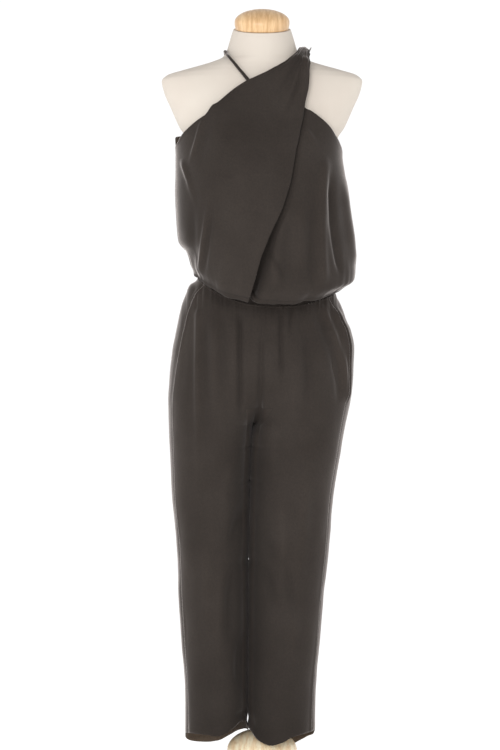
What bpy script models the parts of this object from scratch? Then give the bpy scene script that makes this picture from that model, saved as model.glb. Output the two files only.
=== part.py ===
"""Jumpsuit on a limbless dress form.

A black crepe jumpsuit, a wrapped one-shoulder bodice over full-length trousers, stands on a
dress form with a wooden neck cap, a steel pole and a turned wooden base.
Metres, +Z up, the origin at the middle of the base's underside. The wearer faces -Y, so the
wearer's left is +X and the wearer's right is -X.

Every cloth panel is a sheet laid out on rings round the body. A ring is made of quarter
ovals, and short tables give how far it reaches to each side at each height. Round the body
a turn of 0 degrees is the wearer's left, 90 the front, 180 the right and 270 the back.
"""
import bmesh
import bpy
import numpy as np

# Driving dimensions, in metres.
WALL = 0.0012            # cloth thickness
SEAM = 0.0003            # half of the gap left between two pieces along a seam
SIDE_REACH = 0.150       # the body's usual reach at its side seams
LAYER = 0.0045           # how far the under front lies below the wrap front
BAND_LEVEL = 1.0135      # mean height of the waistband's lower edge
BAND_TALL = 0.028        # height of the waistband
WAIST_RISE = (0.0005, -0.0315, 0.0295, 0.0015)   # waist seam above its mean: left, front, right, back
CROTCH = 0.750           # height of the crotch
HEM_LEVEL = 0.130        # mean height of both hems
HEM_RISE = {             # hem above that mean: outer side, front, inner side, back
    "left": (0.008, -0.009, 0.018, -0.022),
    "right": (-0.006, 0.012, 0.016, -0.025),
}
SEAM_TURN = 28.0         # degrees that the trousers' side seams sit forward of the side
OVAL = 2.2               # roundness of the body's rings, 2 is an ellipse
POCKET_TOP = 0.975
POCKET_BOTTOM = 0.800
POCKET_INSET = 0.0045    # depth of the pocket facing below the trouser panels
STRAP_RADIUS = 0.0033
FORM_BOTTOM = 0.815
FORM_TOP = 1.538
NECK_TILT = 18.0         # degrees that the neck's top leans forward
NECK_LEAN = 0.010        # how far the neck's top stands forward of the pole
CAP_RADIUS = 0.0548      # at the cap's widest, CAP_BELLY above its foot
CAP_TALL = 0.0402
CAP_BELLY = 0.015
POLE_RADIUS = 0.0110
BOSS_TOP = 0.142
BOSS_RADIUS = 0.070      # at the dome's widest, BOSS_FALL below its top
BOSS_FALL = 0.042
FOOT_RADIUS = 0.170
FOOT_TALL = 0.030
SOCKET_DEPTH = 0.080
FIT_GAP = 0.0003


def table(names, *rows):
    """Turn rows of numbers into named columns; the first column is the one to look up by."""
    columns = np.array(rows, dtype=float).T
    named = dict(zip(names.split(), columns))
    named["key"] = columns[0]
    return named


def read(chart, name, at):
    """Read a column of a table at any key: a cubic through its rows that never overshoots."""
    order = np.argsort(chart["key"])
    keys = chart["key"][order]
    values = chart[name][order]
    steps = np.diff(keys)
    slopes = np.diff(values) / steps
    product = slopes[:-1] * slopes[1:]
    total = slopes[:-1] + slopes[1:]
    middle = np.where(product > 0, 2 * product / np.where(total == 0, 1, total), 0)
    tangents = np.concatenate(([slopes[0]], middle, [slopes[-1]]))
    at = np.clip(at, keys[0], keys[-1])
    row = np.clip(np.searchsorted(keys, at, side="right") - 1, 0, len(steps) - 1)
    t = (at - keys[row]) / steps[row]
    return (values[row] * (1 + 2 * t) * (1 - t) ** 2
            + tangents[row] * steps[row] * t * (1 - t) ** 2
            + values[row + 1] * t * t * (3 - 2 * t)
            + tangents[row + 1] * steps[row] * t * t * (t - 1))


def ease(start, end, value):
    """A soft step that is 0 before start and 1 after end."""
    t = np.clip((value - start) / (end - start), 0, 1)
    return t * t * (3 - 2 * t)


def round_the_ring(amounts, degrees):
    """Blend four amounts, given at 0, 90, 180 and 270 degrees, smoothly round a ring."""
    first, second, third, fourth = amounts
    a = np.radians(degrees)
    mean = (first + second + third + fourth) / 4
    twofold = (first - second + third - fourth) / 4
    return (mean + (first - third) / 2 * np.cos(a) + (second - fourth) / 2 * np.sin(a)
            + twofold * np.cos(2 * a))


def power(value, exponent):
    """Raise a sine or cosine to a power and keep its sign."""
    return np.sign(value) * np.abs(value) ** exponent


# ---------------------------------------------------------------- the dress form's torso
# half is the half width; front and back are the reaches from the pole's axis; oval is the
# roundness; lean is how steeply the ring tips forward.
TORSO = table(
    "height half front back oval lean",
    (0.815, 0.152, 0.088, 0.096, 2.3, 0.0),
    (0.825, 0.161, 0.097, 0.108, 2.3, 0.0),
    (0.855, 0.168, 0.106, 0.121, 2.3, 0.0),
    (0.895, 0.167, 0.108, 0.125, 2.3, 0.0),
    (0.945, 0.150, 0.102, 0.111, 2.2, 0.0),
    (0.995, 0.126, 0.093, 0.092, 2.1, 0.0),
    (1.040, 0.118, 0.089, 0.085, 2.1, 0.0),
    (1.090, 0.125, 0.096, 0.087, 2.1, 0.0),
    (1.150, 0.137, 0.111, 0.094, 2.2, 0.0),
    (1.210, 0.147, 0.126, 0.100, 2.2, 0.0),
    (1.255, 0.151, 0.132, 0.103, 2.2, 0.0),
    (1.298, 0.148, 0.125, 0.105, 2.2, 0.0),
    (1.322, 0.151, 0.117, 0.106, 2.2, 0.0),
    (1.345, 0.165, 0.109, 0.106, 2.2, 0.0),
    (1.385, 0.183, 0.096, 0.102, 2.2, 0.0),
    (1.415, 0.196, 0.087, 0.095, 2.1, 0.0),
    (1.437, 0.2005, 0.079, 0.087, 2.0, 0.0),
    (1.448, 0.191, 0.075, 0.081, 1.9, 0.0),
    (1.457, 0.163, 0.072, 0.077, 1.85, 0.0),
    (1.466, 0.130, 0.070, 0.072, 1.85, 0.02),
    (1.475, 0.100, 0.069, 0.067, 1.9, 0.05),
    (1.484, 0.079, 0.068, 0.061, 1.95, 0.10),
    (1.496, 0.0705, 0.067, 0.054, 2.0, 0.18),
    (1.514, 0.0650, 0.0655, 0.0490, 2.0, 0.26),
    (1.530, 0.0600, 0.0635, 0.0460, 2.0, 0.31),
    (1.538, 0.0572, 0.0620, 0.0445, 2.0, 0.325),
)
SHOULDER_TIP_ROWS = (1.430, 1.443)      # two more rings that round the shoulder tips


def torso_ring(height, degrees):
    """One closed ring of the torso."""
    a = np.radians(degrees)
    swell = 2 / read(TORSO, "oval", height)
    deep = np.where(np.sin(a) > 0, read(TORSO, "front", height), read(TORSO, "back", height))
    x = read(TORSO, "half", height) * power(np.cos(a), swell)
    y = -deep * power(np.sin(a), swell)
    z = height + read(TORSO, "lean", height) * (y + NECK_LEAN)
    return np.stack((x, y, z), axis=-1)


# ---------------------------------------------------------------- the bodice
# drop is the way down the cloth from the shoulder ridge. The last rows roll under the
# blouse's lower edge and climb back to the top of the waistband.
BODICE = table(
    "drop height left front right back",
    (0.0000, 1.5070, 0.104, 0.0008, 0.104, 0.0008),
    (0.0015, 1.5055, 0.106, 0.0130, 0.106, 0.0130),
    (0.0050, 1.5020, 0.109, 0.0290, 0.109, 0.0290),
    (0.0120, 1.4950, 0.114, 0.0480, 0.114, 0.0460),
    (0.0220, 1.4850, 0.127, 0.0650, 0.127, 0.0630),
    (0.0340, 1.4730, 0.150, 0.0770, 0.150, 0.0760),
    (0.0470, 1.4600, 0.182, 0.0840, 0.182, 0.0860),
    (0.0670, 1.4400, 0.208, 0.0910, 0.208, 0.0960),
    (0.0920, 1.4150, 0.205, 0.0995, 0.205, 0.1045),
    (0.1220, 1.3850, 0.191, 0.109, 0.194, 0.111),
    (0.1620, 1.3450, 0.173, 0.123, 0.180, 0.116),
    (0.1870, 1.3200, 0.162, 0.133, 0.174, 0.118),
    (0.2190, 1.2880, 0.1605, 0.142, 0.171, 0.119),
    (0.2570, 1.2500, 0.1655, 0.148, 0.171, 0.120),
    (0.2910, 1.2160, 0.172, 0.150, 0.172, 0.120),
    (0.3390, 1.1680, 0.176, 0.150, 0.170, 0.120),
    (0.3870, 1.1200, 0.182, 0.149, 0.166, 0.122),
    (0.4220, 1.0850, 0.184, 0.149, 0.150, 0.126),
    (0.4470, 1.0600, 0.186, 0.150, 0.145, 0.130),
    (0.4650, 1.0420, 0.184, 0.149, 0.141, 0.130),
    (0.4790, 1.0300, 0.174, 0.144, 0.1355, 0.126),
    (0.4950, 1.0205, 0.158, 0.133, 0.1335, 0.118),
    (0.5080, 1.0240, 0.1515, 0.120, 0.1312, 0.107),
    (0.5300, 1.0405, 0.1495, 0.1062, 0.1310, 0.1005),
)
BODICE_END = 0.530
RIGHT_SEAM = 176.0       # turn of the bodice's side seam on the wearer's right
LEFT_SEAM = 356.0        # and on the left
SEAM_DEGREES = np.degrees(SEAM / SIDE_REACH)
BODICE_REACHES = ("left", "front", "right", "back")
BAND_REACH = (0.1469, 0.1033, 0.1284, 0.0979)    # waistband: left, front, right, back

# Each row of a bodice panel is one line across it: where it starts and where it ends.
WRAP_FRONT = table(
    "along start_turn start_drop end_turn end_drop",
    (0, 45.0, 0.0000, 20.0, 0.0004),
    (0.5, 59.0, 0.0210, 44.0, 0.0240),
    (1, 85.5, 0.0540, 66.0, 0.0655),
    (2, 97.0, 0.0810, 66.0, 0.1230),
    (3, 111.5, 0.1210, 65.5, 0.1780),
    (4, 122.0, 0.1460, 69.5, 0.2340),
    (5, 139.0, 0.1700, 74.5, 0.2930),
    (6, 167.0, 0.1935, 79.0, 0.3350),
    (6.5, 176.0, 0.2060, 81.5, 0.3530),
    (7, 176.0, 0.2400, 84.0, 0.3700),
    (8, 176.0, 0.3150, 87.5, 0.3970),
    (9, 176.0, 0.3870, 91.0, 0.4225),
    (10, 176.0, 0.4470, 95.0, 0.4520),
    (11, 176.0, 0.4950, 100.0, 0.4950),
    (12, 176.0, 0.5080, 101.0, 0.5080),
    (13, 176.0, 0.5300, 102.0, 0.5300),
)
UNDER_FRONT = table(
    "along start_turn start_drop end_turn end_drop",
    (0, 44.0, 0.0012, 23.0, 0.0016),
    (0.5, 56.0, 0.0220, 46.0, 0.0245),
    (1, 78.0, 0.0620, 68.0, 0.0670),
    (2, 82.0, 0.1150, 67.5, 0.1230),
    (3, 82.0, 0.1700, 65.5, 0.1370),
    (4, 85.0, 0.2150, 56.5, 0.1540),
    (5, 90.0, 0.2600, 45.5, 0.1700),
    (6, 96.0, 0.3050, 34.5, 0.1820),
    (7, 101.0, 0.3400, 19.0, 0.2000),
    (8, 106.0, 0.3750, 0.0, 0.2290),
    (9, 112.0, 0.4100, -4.0, 0.2900),
    (10, 117.0, 0.4400, -4.0, 0.3650),
    (11, 120.0, 0.4700, -4.0, 0.4400),
    (12, 122.0, 0.4950, -4.0, 0.4950),
    (13, 122.5, 0.5080, -4.0, 0.5080),
    (14, 123.0, 0.5300, -4.0, 0.5300),
)
BACK = table(
    "along start_turn start_drop end_turn end_drop",
    (0, 315.0, 0.0000, 340.0, 0.0004),
    (0.5, 302.0, 0.0160, 320.0, 0.0200),
    (1, 286.0, 0.0420, 304.0, 0.0500),
    (2, 272.0, 0.0620, 306.0, 0.0850),
    (3, 253.0, 0.0860, 312.0, 0.1200),
    (4, 234.0, 0.1150, 320.0, 0.1500),
    (5, 209.0, 0.1530, 334.0, 0.1870),
    (6, 183.0, 0.1880, 350.0, 0.2180),
    (6.5, 176.0, 0.2060, 356.0, 0.2330),
    (7, 176.0, 0.2400, 356.0, 0.2650),
    (8, 176.0, 0.3150, 356.0, 0.3300),
    (9, 176.0, 0.3870, 356.0, 0.3950),
    (10, 176.0, 0.4470, 356.0, 0.4500),
    (11, 176.0, 0.4950, 356.0, 0.4950),
    (12, 176.0, 0.5080, 356.0, 0.5080),
    (13, 176.0, 0.5300, 356.0, 0.5300),
)


def oval_point(reaches, degrees):
    """x and y of a ring of four quarter ovals with these reaches: left, front, right, back."""
    left, front, right, back = reaches
    a = np.radians(degrees)
    side = np.where(np.cos(a) > 0, left, right)
    deep = np.where(np.sin(a) > 0, front, back)
    return side * power(np.cos(a), 2 / OVAL), -deep * power(np.sin(a), 2 / OVAL)


def waist_rise(degrees, level, fades_from, fades_to):
    """Height added near the waist, where the waist seam dips in front."""
    return round_the_ring(WAIST_RISE, degrees) * (1 - ease(fades_from, fades_to, level))


def bodice_surface(degrees, drop):
    """A point of the bodice's outer surface."""
    x, y = oval_point([read(BODICE, name, drop) for name in BODICE_REACHES], degrees)
    level = read(BODICE, "height", drop)
    z = level + waist_rise(degrees, level, 1.045, 1.120)
    return np.stack((x, y, z), axis=-1)


def outward(surface, first, second, first_step, second_step):
    """Unit normals of a surface, from small steps along both of its parameters."""
    along = surface(first + first_step, second) - surface(first - first_step, second)
    down = surface(first, second + second_step) - surface(first, second - second_step)
    normal = np.cross(along, down)
    return normal / np.linalg.norm(normal, axis=-1, keepdims=True)


def raised_bodice(degrees, drop, amount):
    """A bodice point moved out along the surface's normal."""
    normal = outward(bodice_surface, degrees, np.clip(drop, 0.002, 0.526), 0.5, 0.0015)
    return bodice_surface(degrees, drop) + normal * amount[..., None]


def panel_lines(chart, columns, rows):
    """The grid of turns and drops of a bodice panel."""
    along = rows_between(chart, rows)[:, None]
    u = np.linspace(0, 1, columns)[None, :]
    degrees = read(chart, "start_turn", along) * (1 - u) + read(chart, "end_turn", along) * u
    drop = read(chart, "start_drop", along) * (1 - u) + read(chart, "end_drop", along) * u
    return degrees, drop


def rows_between(chart, per_line):
    """Row positions: every line of the chart, with some rows between neighbours."""
    last = int(chart["key"][-1])
    near_shoulder = np.linspace(0, 1, 5)
    return np.concatenate((near_shoulder, np.linspace(1, last, (last - 1) * per_line + 1)[1:]))


def free_edge_turn(drop):
    """Turn of the wrap front's free edge at a given drop."""
    return np.interp(drop, WRAP_FRONT["end_drop"], WRAP_FRONT["end_turn"])


# ---------------------------------------------------------------- the trousers
# Each leg is a stack of ovals that reach from the outer side over the crest, the point
# furthest forward or back, to the inner end. Above the crotch the inner end stays on the
# centre seam, and RISE says how much of the front or back depth is left there.
LEG = {
    "left": table(
        "level outer crest front back",
        (1.0125, 0.1470, 0.004, 0.1035, 0.0980),
        (1.000, 0.1540, 0.005, 0.1130, 0.1090),
        (0.985, 0.1600, 0.006, 0.1200, 0.1190),
        (0.964, 0.1670, 0.008, 0.1260, 0.1290),
        (0.940, 0.1780, 0.010, 0.1300, 0.1360),
        (0.905, 0.1840, 0.014, 0.1330, 0.1420),
        (0.868, 0.1825, 0.026, 0.1320, 0.1430),
        (0.844, 0.1815, 0.038, 0.1290, 0.1400),
        (0.796, 0.1760, 0.060, 0.1210, 0.1310),
        (0.748, 0.1660, 0.070, 0.1120, 0.1200),
        (0.700, 0.1580, 0.069, 0.1050, 0.1110),
        (0.604, 0.1420, 0.058, 0.0970, 0.1030),
        (0.508, 0.1320, 0.053, 0.0920, 0.0980),
        (0.412, 0.1200, 0.047, 0.0870, 0.0930),
        (0.316, 0.1120, 0.043, 0.0820, 0.0890),
        (0.220, 0.1040, 0.039, 0.0780, 0.0860),
        (0.130, 0.1040, 0.038, 0.0760, 0.0850),
    ),
    "right": table(
        "level outer crest front back",
        (1.0125, 0.1285, 0.004, 0.1035, 0.0980),
        (1.000, 0.1440, 0.005, 0.1130, 0.1090),
        (0.985, 0.1530, 0.006, 0.1200, 0.1190),
        (0.964, 0.1620, 0.008, 0.1260, 0.1290),
        (0.940, 0.1690, 0.010, 0.1300, 0.1360),
        (0.905, 0.1780, 0.014, 0.1330, 0.1420),
        (0.868, 0.1840, 0.030, 0.1320, 0.1430),
        (0.844, 0.1860, 0.048, 0.1290, 0.1400),
        (0.796, 0.1880, 0.078, 0.1210, 0.1310),
        (0.748, 0.1860, 0.098, 0.1120, 0.1200),
        (0.700, 0.1840, 0.103, 0.1050, 0.1110),
        (0.604, 0.1800, 0.103, 0.0970, 0.1030),
        (0.508, 0.1700, 0.099, 0.0920, 0.0980),
        (0.412, 0.1660, 0.097, 0.0870, 0.0930),
        (0.316, 0.1600, 0.094, 0.0820, 0.0890),
        (0.220, 0.1540, 0.092, 0.0780, 0.0860),
        (0.130, 0.1520, 0.091, 0.0760, 0.0850),
    ),
}
RISE = table(
    "level seam front_left back_left",
    (1.0125, 0.000, 1.000, 1.000),
    (0.900, 0.000, 0.990, 0.985),
    (0.860, 0.000, 0.975, 0.970),
    (0.830, -0.001, 0.940, 0.930),
    (0.800, -0.003, 0.850, 0.830),
    (0.780, -0.006, 0.720, 0.690),
    (0.765, -0.010, 0.520, 0.480),
    (0.756, -0.014, 0.290, 0.260),
    (0.750, -0.017, 0.000, 0.000),
    (0.700, -0.021, 0.000, 0.000),
    (0.640, -0.024, 0.000, 0.000),
    (0.484, -0.027, 0.000, 0.000),
    (0.130, -0.029, 0.000, 0.000),
)
LEG_ROWS = (1.0125, 1.003, 0.992, 0.976, 0.955, 0.930, 0.900, 0.868, 0.835, 0.808, 0.785, 0.768,
            0.757, 0.749, 0.735, 0.700, 0.655, 0.600, 0.520, 0.430, 0.340, 0.260, 0.180, 0.130)
CENTRE_HALF_GAP = 0.0008     # from the centre seam to each panel above the crotch
LEG_HALF_GAP = 0.0015        # from the middle between the legs to each inner side
SEAM_SHARE = 0.0015      # share of a section left out at each end for the seams' gap
SIDE_SIGN = {"left": 1, "right": -1}

# Large folds, as a path from one end to the other seen from the front, with the width and
# the height of the ridge; a negative height is a trough.
TROUSER_FOLDS = table(
    "number x0 z0 x1 z1 width lift",
    (1, -0.128, 1.010, -0.130, 0.560, 0.014, 0.0030),
    (2, -0.044, 1.000, -0.044, 0.770, 0.013, -0.0040),
    (3, 0.038, 1.000, 0.042, 0.780, 0.013, -0.0040),
    (4, 0.086, 1.000, 0.090, 0.820, 0.015, -0.0030),
    (5, -0.085, 1.010, -0.082, 0.800, 0.015, -0.0025),
    (6, -0.020, 0.650, -0.075, 0.540, 0.016, -0.0035),
    (7, 0.000, 0.640, 0.030, 0.550, 0.016, -0.0030),
    (8, 0.120, 1.000, 0.160, 0.860, 0.012, 0.0035),
)
WRAP_FOLDS = table(
    "number x0 z0 x1 z1 width lift",
    (1, 0.086, 1.470, 0.036, 1.330, 0.013, 0.0030),
    (2, 0.074, 1.460, -0.010, 1.390, 0.012, -0.0025),
    (3, -0.104, 1.360, -0.144, 1.250, 0.013, 0.0030),
    (4, -0.106, 1.200, -0.126, 1.060, 0.013, 0.0035),
)
UNDER_FOLDS = table(
    "number x0 z0 x1 z1 width lift",
    (1, 0.132, 1.290, 0.150, 1.080, 0.014, 0.0035),
    (2, 0.048, 1.200, 0.010, 1.040, 0.014, -0.0050),
)


def fold_lift(folds, x, z):
    """Height of all folds of a table at points seen from the front."""
    total = np.zeros_like(x)
    for x0, z0, x1, z1, width, lift in zip(*(folds[k] for k in ("x0", "z0", "x1", "z1", "width", "lift"))):
        run_x = x1 - x0
        run_z = z1 - z0
        length = np.hypot(run_x, run_z)
        along = ((x - x0) * run_x + (z - z0) * run_z) / length ** 2
        across = ((x - x0) * run_z - (z - z0) * run_x) / length
        ramp = ease(-0.05, 0.12, along) * (1 - ease(0.65, 1.0, along))
        total += lift * ramp * np.exp(-(across / width) ** 2)
    return total


def leg_runs(side, face, level):
    """Rough lengths of a leg section: outer side to crest, and crest to inner end."""
    chart = LEG[side]
    deep = read(chart, face, level)
    crest = read(chart, "crest", level)
    end = SIDE_SIGN[side] * read(RISE, "seam", level)
    outer_run = read(chart, "outer", level) - crest + deep
    inner_run = crest - end + deep * (1 - read(RISE, face + "_left", level))
    return outer_run, inner_run


def leg_surface(side, face):
    """Return the surface of one leg's front or back half, as a function of degrees and level.

    The degrees run from 0 on the outermost line of the leg over 90 at the crest to 180 at
    the inner end; below 0 the surface goes on round to the other half."""
    chart = LEG[side]
    sign = SIDE_SIGN[side]
    facing = -1 if face == "front" else 1

    def point(degrees, level):
        outer = sign * read(chart, "outer", level)
        crest = sign * read(chart, "crest", level)
        near = read(chart, face, level)
        far = read(chart, "back" if face == "front" else "front", level)
        gap = CENTRE_HALF_GAP + (LEG_HALF_GAP - CENTRE_HALF_GAP) * ease(-CROTCH, -0.700, -level)
        end = read(RISE, "seam", level) + sign * gap
        left_over = read(RISE, face + "_left", level)
        out = np.radians(np.clip(degrees, -90, 90))
        inner = np.radians(np.clip(degrees - 90, 0, 90))
        deep = np.where(degrees < 0, far, near)
        x = crest + (outer - crest) * power(np.cos(out), 2 / OVAL)
        y = deep * power(np.sin(out), 2 / OVAL)
        x = np.where(degrees > 90, crest + (end - crest) * power(np.sin(inner), 2 / OVAL), x)
        inner_y = near * (left_over + (1 - left_over) * power(np.cos(inner), 2 / OVAL))
        y = facing * np.where(degrees > 90, inner_y, y)
        round_leg = -facing * degrees
        round_body = -facing * np.clip(degrees, -90, 90)
        round_body = round_body if side == "left" else 180 - round_body
        z = level + waist_rise(round_body, -level, -BAND_LEVEL, -0.880)
        z = z + round_the_ring(HEM_RISE[side], round_leg) * (1 - ease(HEM_LEVEL, 0.260, level))
        return np.stack((x, y, z), axis=-1)

    return point


def leg_degrees(side, face, level, share):
    """Degrees at a share of the way along a panel's section, from its side seam inwards."""
    outer_run, inner_run = leg_runs(side, face, level)
    start = SEAM_TURN if face == "front" else -SEAM_TURN
    first = outer_run * (90 - start) / 90
    way = share * (first + inner_run)
    return np.where(way < first, start + (90 - start) * way / first,
                    90 + 90 * (way - first) / np.maximum(inner_run, 1e-6))


# ---------------------------------------------------------------- meshes and materials
def finish(name, colour, roughness, metallic=0.0):
    """A plain Principled material."""
    material = bpy.data.materials.new(name)
    material.use_nodes = True
    shader = material.node_tree.nodes["Principled BSDF"]
    shader.inputs["Base Color"].default_value = (*colour, 1.0)
    shader.inputs["Roughness"].default_value = roughness
    shader.inputs["Metallic"].default_value = metallic
    material.diffuse_color = (*colour, 1.0)
    return material


def add_object(name, vertices, faces, material):
    """Make a mesh object from points and faces."""
    mesh = bpy.data.meshes.new(name)
    mesh.from_pydata([tuple(p) for p in vertices], [], faces)
    mesh.materials.append(material)
    mesh.shade_smooth()
    made = bpy.data.objects.new(name, mesh)
    bpy.context.collection.objects.link(made)
    return made


def grid_faces(rows, columns, closed=False):
    """Quads of a grid; a closed one joins its last column to its first."""
    spans = columns if closed else columns - 1
    return [(r * columns + c, r * columns + (c + 1) % columns,
             (r + 1) * columns + (c + 1) % columns, (r + 1) * columns + c)
            for r in range(rows - 1) for c in range(spans)]


def cloth(name, grid, material, closed=False):
    """A cloth panel: a grid of points given its thickness on both sides."""
    rows, columns = grid.shape[:2]
    panel = add_object(name, grid.reshape(-1, 3), grid_faces(rows, columns, closed), material)
    wall = panel.modifiers.new("wall", "SOLIDIFY")
    wall.thickness = WALL
    wall.offset = 0
    return panel


def turned(name, profile, sides, material):
    """A turned piece: a profile of radius and height, from the upper pole down the outside."""
    made = add_object(name, [(r, 0, z) for r, z in profile], [], material)
    made.data.edges.add(len(profile) - 1)
    for number, edge in enumerate(made.data.edges):
        edge.vertices = (number, number + 1)
    spin = made.modifiers.new("spin", "SCREW")
    spin.steps = sides
    spin.render_steps = sides
    spin.use_merge_vertices = True
    spin.merge_threshold = 0.0001
    return made


# ---------------------------------------------------------------- the pieces
def make_wrap_front(crepe):
    """The wearer's right front, gathered on the shoulder and free along its diagonal edge."""
    degrees, drop = panel_lines(WRAP_FRONT, 13, 2)
    base = bodice_surface(degrees, drop)
    lift = fold_lift(WRAP_FOLDS, base[..., 0], base[..., 2])
    degrees = np.minimum(degrees, RIGHT_SEAM - SEAM_DEGREES)
    return cloth("bodice_wrap_front", raised_bodice(degrees, drop, lift), crepe)


def make_under_front(crepe):
    """The wearer's left front, which runs on below the wrap."""
    degrees, drop = panel_lines(UNDER_FRONT, 10, 2)
    past_edge = free_edge_turn(drop) - degrees
    under = 1 - ease(5.0, 17.0, past_edge)
    end = ease(0.508, BODICE_END, drop)
    lift = -LAYER * under * (1 - 0.5 * end) - 0.0015 * (1 - ease(0.03, 0.12, drop))
    base = bodice_surface(degrees, drop)
    folds = fold_lift(UNDER_FOLDS, base[..., 0], base[..., 2]) * (1 - under)
    degrees = np.maximum(degrees, LEFT_SEAM - 360 + SEAM_DEGREES)
    return cloth("bodice_under_front", raised_bodice(degrees, drop, lift + folds), crepe)


def make_back(crepe):
    """The one-shoulder back."""
    degrees, drop = panel_lines(BACK, 16, 2)
    degrees = np.clip(degrees, RIGHT_SEAM + SEAM_DEGREES, LEFT_SEAM - SEAM_DEGREES)
    flat = np.zeros_like(degrees)
    return cloth("bodice_back", raised_bodice(degrees, drop, flat), crepe)


def make_waistband(crepe):
    """The elastic casing, a ring whose top and bottom both dip in front."""
    degrees = np.linspace(0, 360, 40, endpoint=False)[None, :]
    level = np.linspace(BAND_LEVEL + BAND_TALL, BAND_LEVEL, 3)[:, None]
    x, y = oval_point(BAND_REACH, degrees)
    z = level + round_the_ring(WAIST_RISE, degrees)
    ring = np.stack((x + 0 * level, y + 0 * level, z), axis=-1)
    return cloth("waistband", ring, crepe, closed=True)


def make_trouser_panel(side, face, crepe):
    """One front or back leg panel, from the waist to the hem."""
    surface = leg_surface(side, face)
    level = np.array(LEG_ROWS)[:, None]
    columns = 12 if face == "front" else 10
    share = np.linspace(0, 1, columns)[None, :] * (1 - 2 * SEAM_SHARE) + SEAM_SHARE
    degrees = leg_degrees(side, face, level, share)
    normal = outward(surface, np.clip(degrees, None, 177), np.clip(level, 0.135, 1.008), 1.0, -0.003)
    normal = normal * SIDE_SIGN[side] * (1 if face == "front" else -1)
    base = surface(degrees, level)
    lift = fold_lift(TROUSER_FOLDS, base[..., 0], base[..., 2]) if face == "front" else 0 * degrees
    lift = lift * (1 - ease(0.90, 1.0, share)) * ease(0.0, 0.10, share)
    return cloth("trouser_" + face + "_" + side, base + normal * lift[..., None], crepe)


def make_pocket_facing(side, crepe):
    """The strip of pocket that lies behind the mouth in the side seam."""
    surface = leg_surface(side, "front")
    level = np.linspace(POCKET_TOP, POCKET_BOTTOM, 8)[:, None]
    degrees = SEAM_TURN + np.linspace(-6, 18, 5)[None, :] + 0 * level
    normal = outward(surface, degrees, level, 1.0, -0.003) * SIDE_SIGN[side]
    return cloth("pocket_facing_" + side, surface(degrees, level) - normal * POCKET_INSET, crepe)


STRAP_ROUTE = table(
    "number x y z",
    (0, -0.0245, -0.0893, 1.4215),
    (1, -0.0338, -0.0850, 1.4335),
    (2, -0.0455, -0.0780, 1.4485),
    (3, -0.0573, -0.0680, 1.4648),
    (4, -0.0652, -0.0560, 1.4760),
    (5, -0.0715, -0.0370, 1.4865),
    (6, -0.0765, -0.0130, 1.4965),
    (7, -0.0770, 0.0120, 1.4965),
    (8, -0.0725, 0.0400, 1.4880),
    (9, -0.0650, 0.0680, 1.4690),
    (10, -0.0565, 0.0865, 1.4470),
    (11, -0.0500, 0.0940, 1.4240),
)


def make_strap(crepe):
    """The narrow tubular strap round the wearer's right side of the neck."""
    at = np.linspace(0, STRAP_ROUTE["key"][-1], 24)
    route = np.stack([read(STRAP_ROUTE, axis, at) for axis in "xyz"], axis=-1)
    path = bpy.data.curves.new("neck_strap", "CURVE")
    path.dimensions = "3D"
    path.bevel_depth = STRAP_RADIUS
    path.bevel_resolution = 2
    path.use_fill_caps = True
    spline = path.splines.new("POLY")
    spline.points.add(len(route) - 1)
    for point, place in zip(spline.points, route):
        point.co = (*place, 1.0)
    path.materials.append(crepe)
    strap = bpy.data.objects.new("neck_strap", path)
    bpy.context.collection.objects.link(strap)
    return strap


def make_torso(jersey):
    """The limbless torso: rings closed by a flat bottom and a flat, tilted neck top."""
    heights = np.sort(np.concatenate((TORSO["height"], SHOULDER_TIP_ROWS)))
    sides = 44
    degrees = np.linspace(0, 360, sides, endpoint=False)[None, :]
    points = torso_ring(heights[::-1, None], degrees)
    faces = grid_faces(len(heights), sides, closed=True)
    last = (len(heights) - 1) * sides
    faces.append(tuple(range(sides))[::-1])
    faces.append(tuple(range(last, last + sides)))
    torso = add_object("form_torso", points.reshape(-1, 3), faces, jersey)
    tidy = bmesh.new()
    tidy.from_mesh(torso.data)
    bmesh.ops.recalc_face_normals(tidy, faces=tidy.faces)
    tidy.to_mesh(torso.data)
    tidy.free()
    return torso


def make_neck_cap(wood):
    """The turned cap, tipped forward with the neck's top."""
    profile = [(0.0, CAP_TALL)]
    dome = CAP_TALL - CAP_BELLY
    for a in np.radians(np.linspace(9, 90, 10)):
        profile.append((CAP_RADIUS * np.sin(a), CAP_BELLY + dome * np.cos(a)))
    profile += [(CAP_RADIUS * 0.985, CAP_BELLY * 0.55), (CAP_RADIUS * 0.945, CAP_BELLY * 0.15),
                (CAP_RADIUS * 0.925, 0.0), (0.0, 0.0)]
    cap = turned("form_neck_cap", profile, 40, wood)
    cap.rotation_euler = (np.radians(NECK_TILT), 0, 0)
    cap.location = (0, -NECK_LEAN, FORM_TOP + FIT_GAP * 2)
    return cap


def make_pole(steel):
    """The pole, from its socket in the base to the torso's underside."""
    top = FORM_BOTTOM - FIT_GAP
    foot = BOSS_TOP - SOCKET_DEPTH + FIT_GAP
    return turned("form_pole", [(0, top), (POLE_RADIUS, top), (POLE_RADIUS, foot), (0, foot)], 28, steel)


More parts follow.
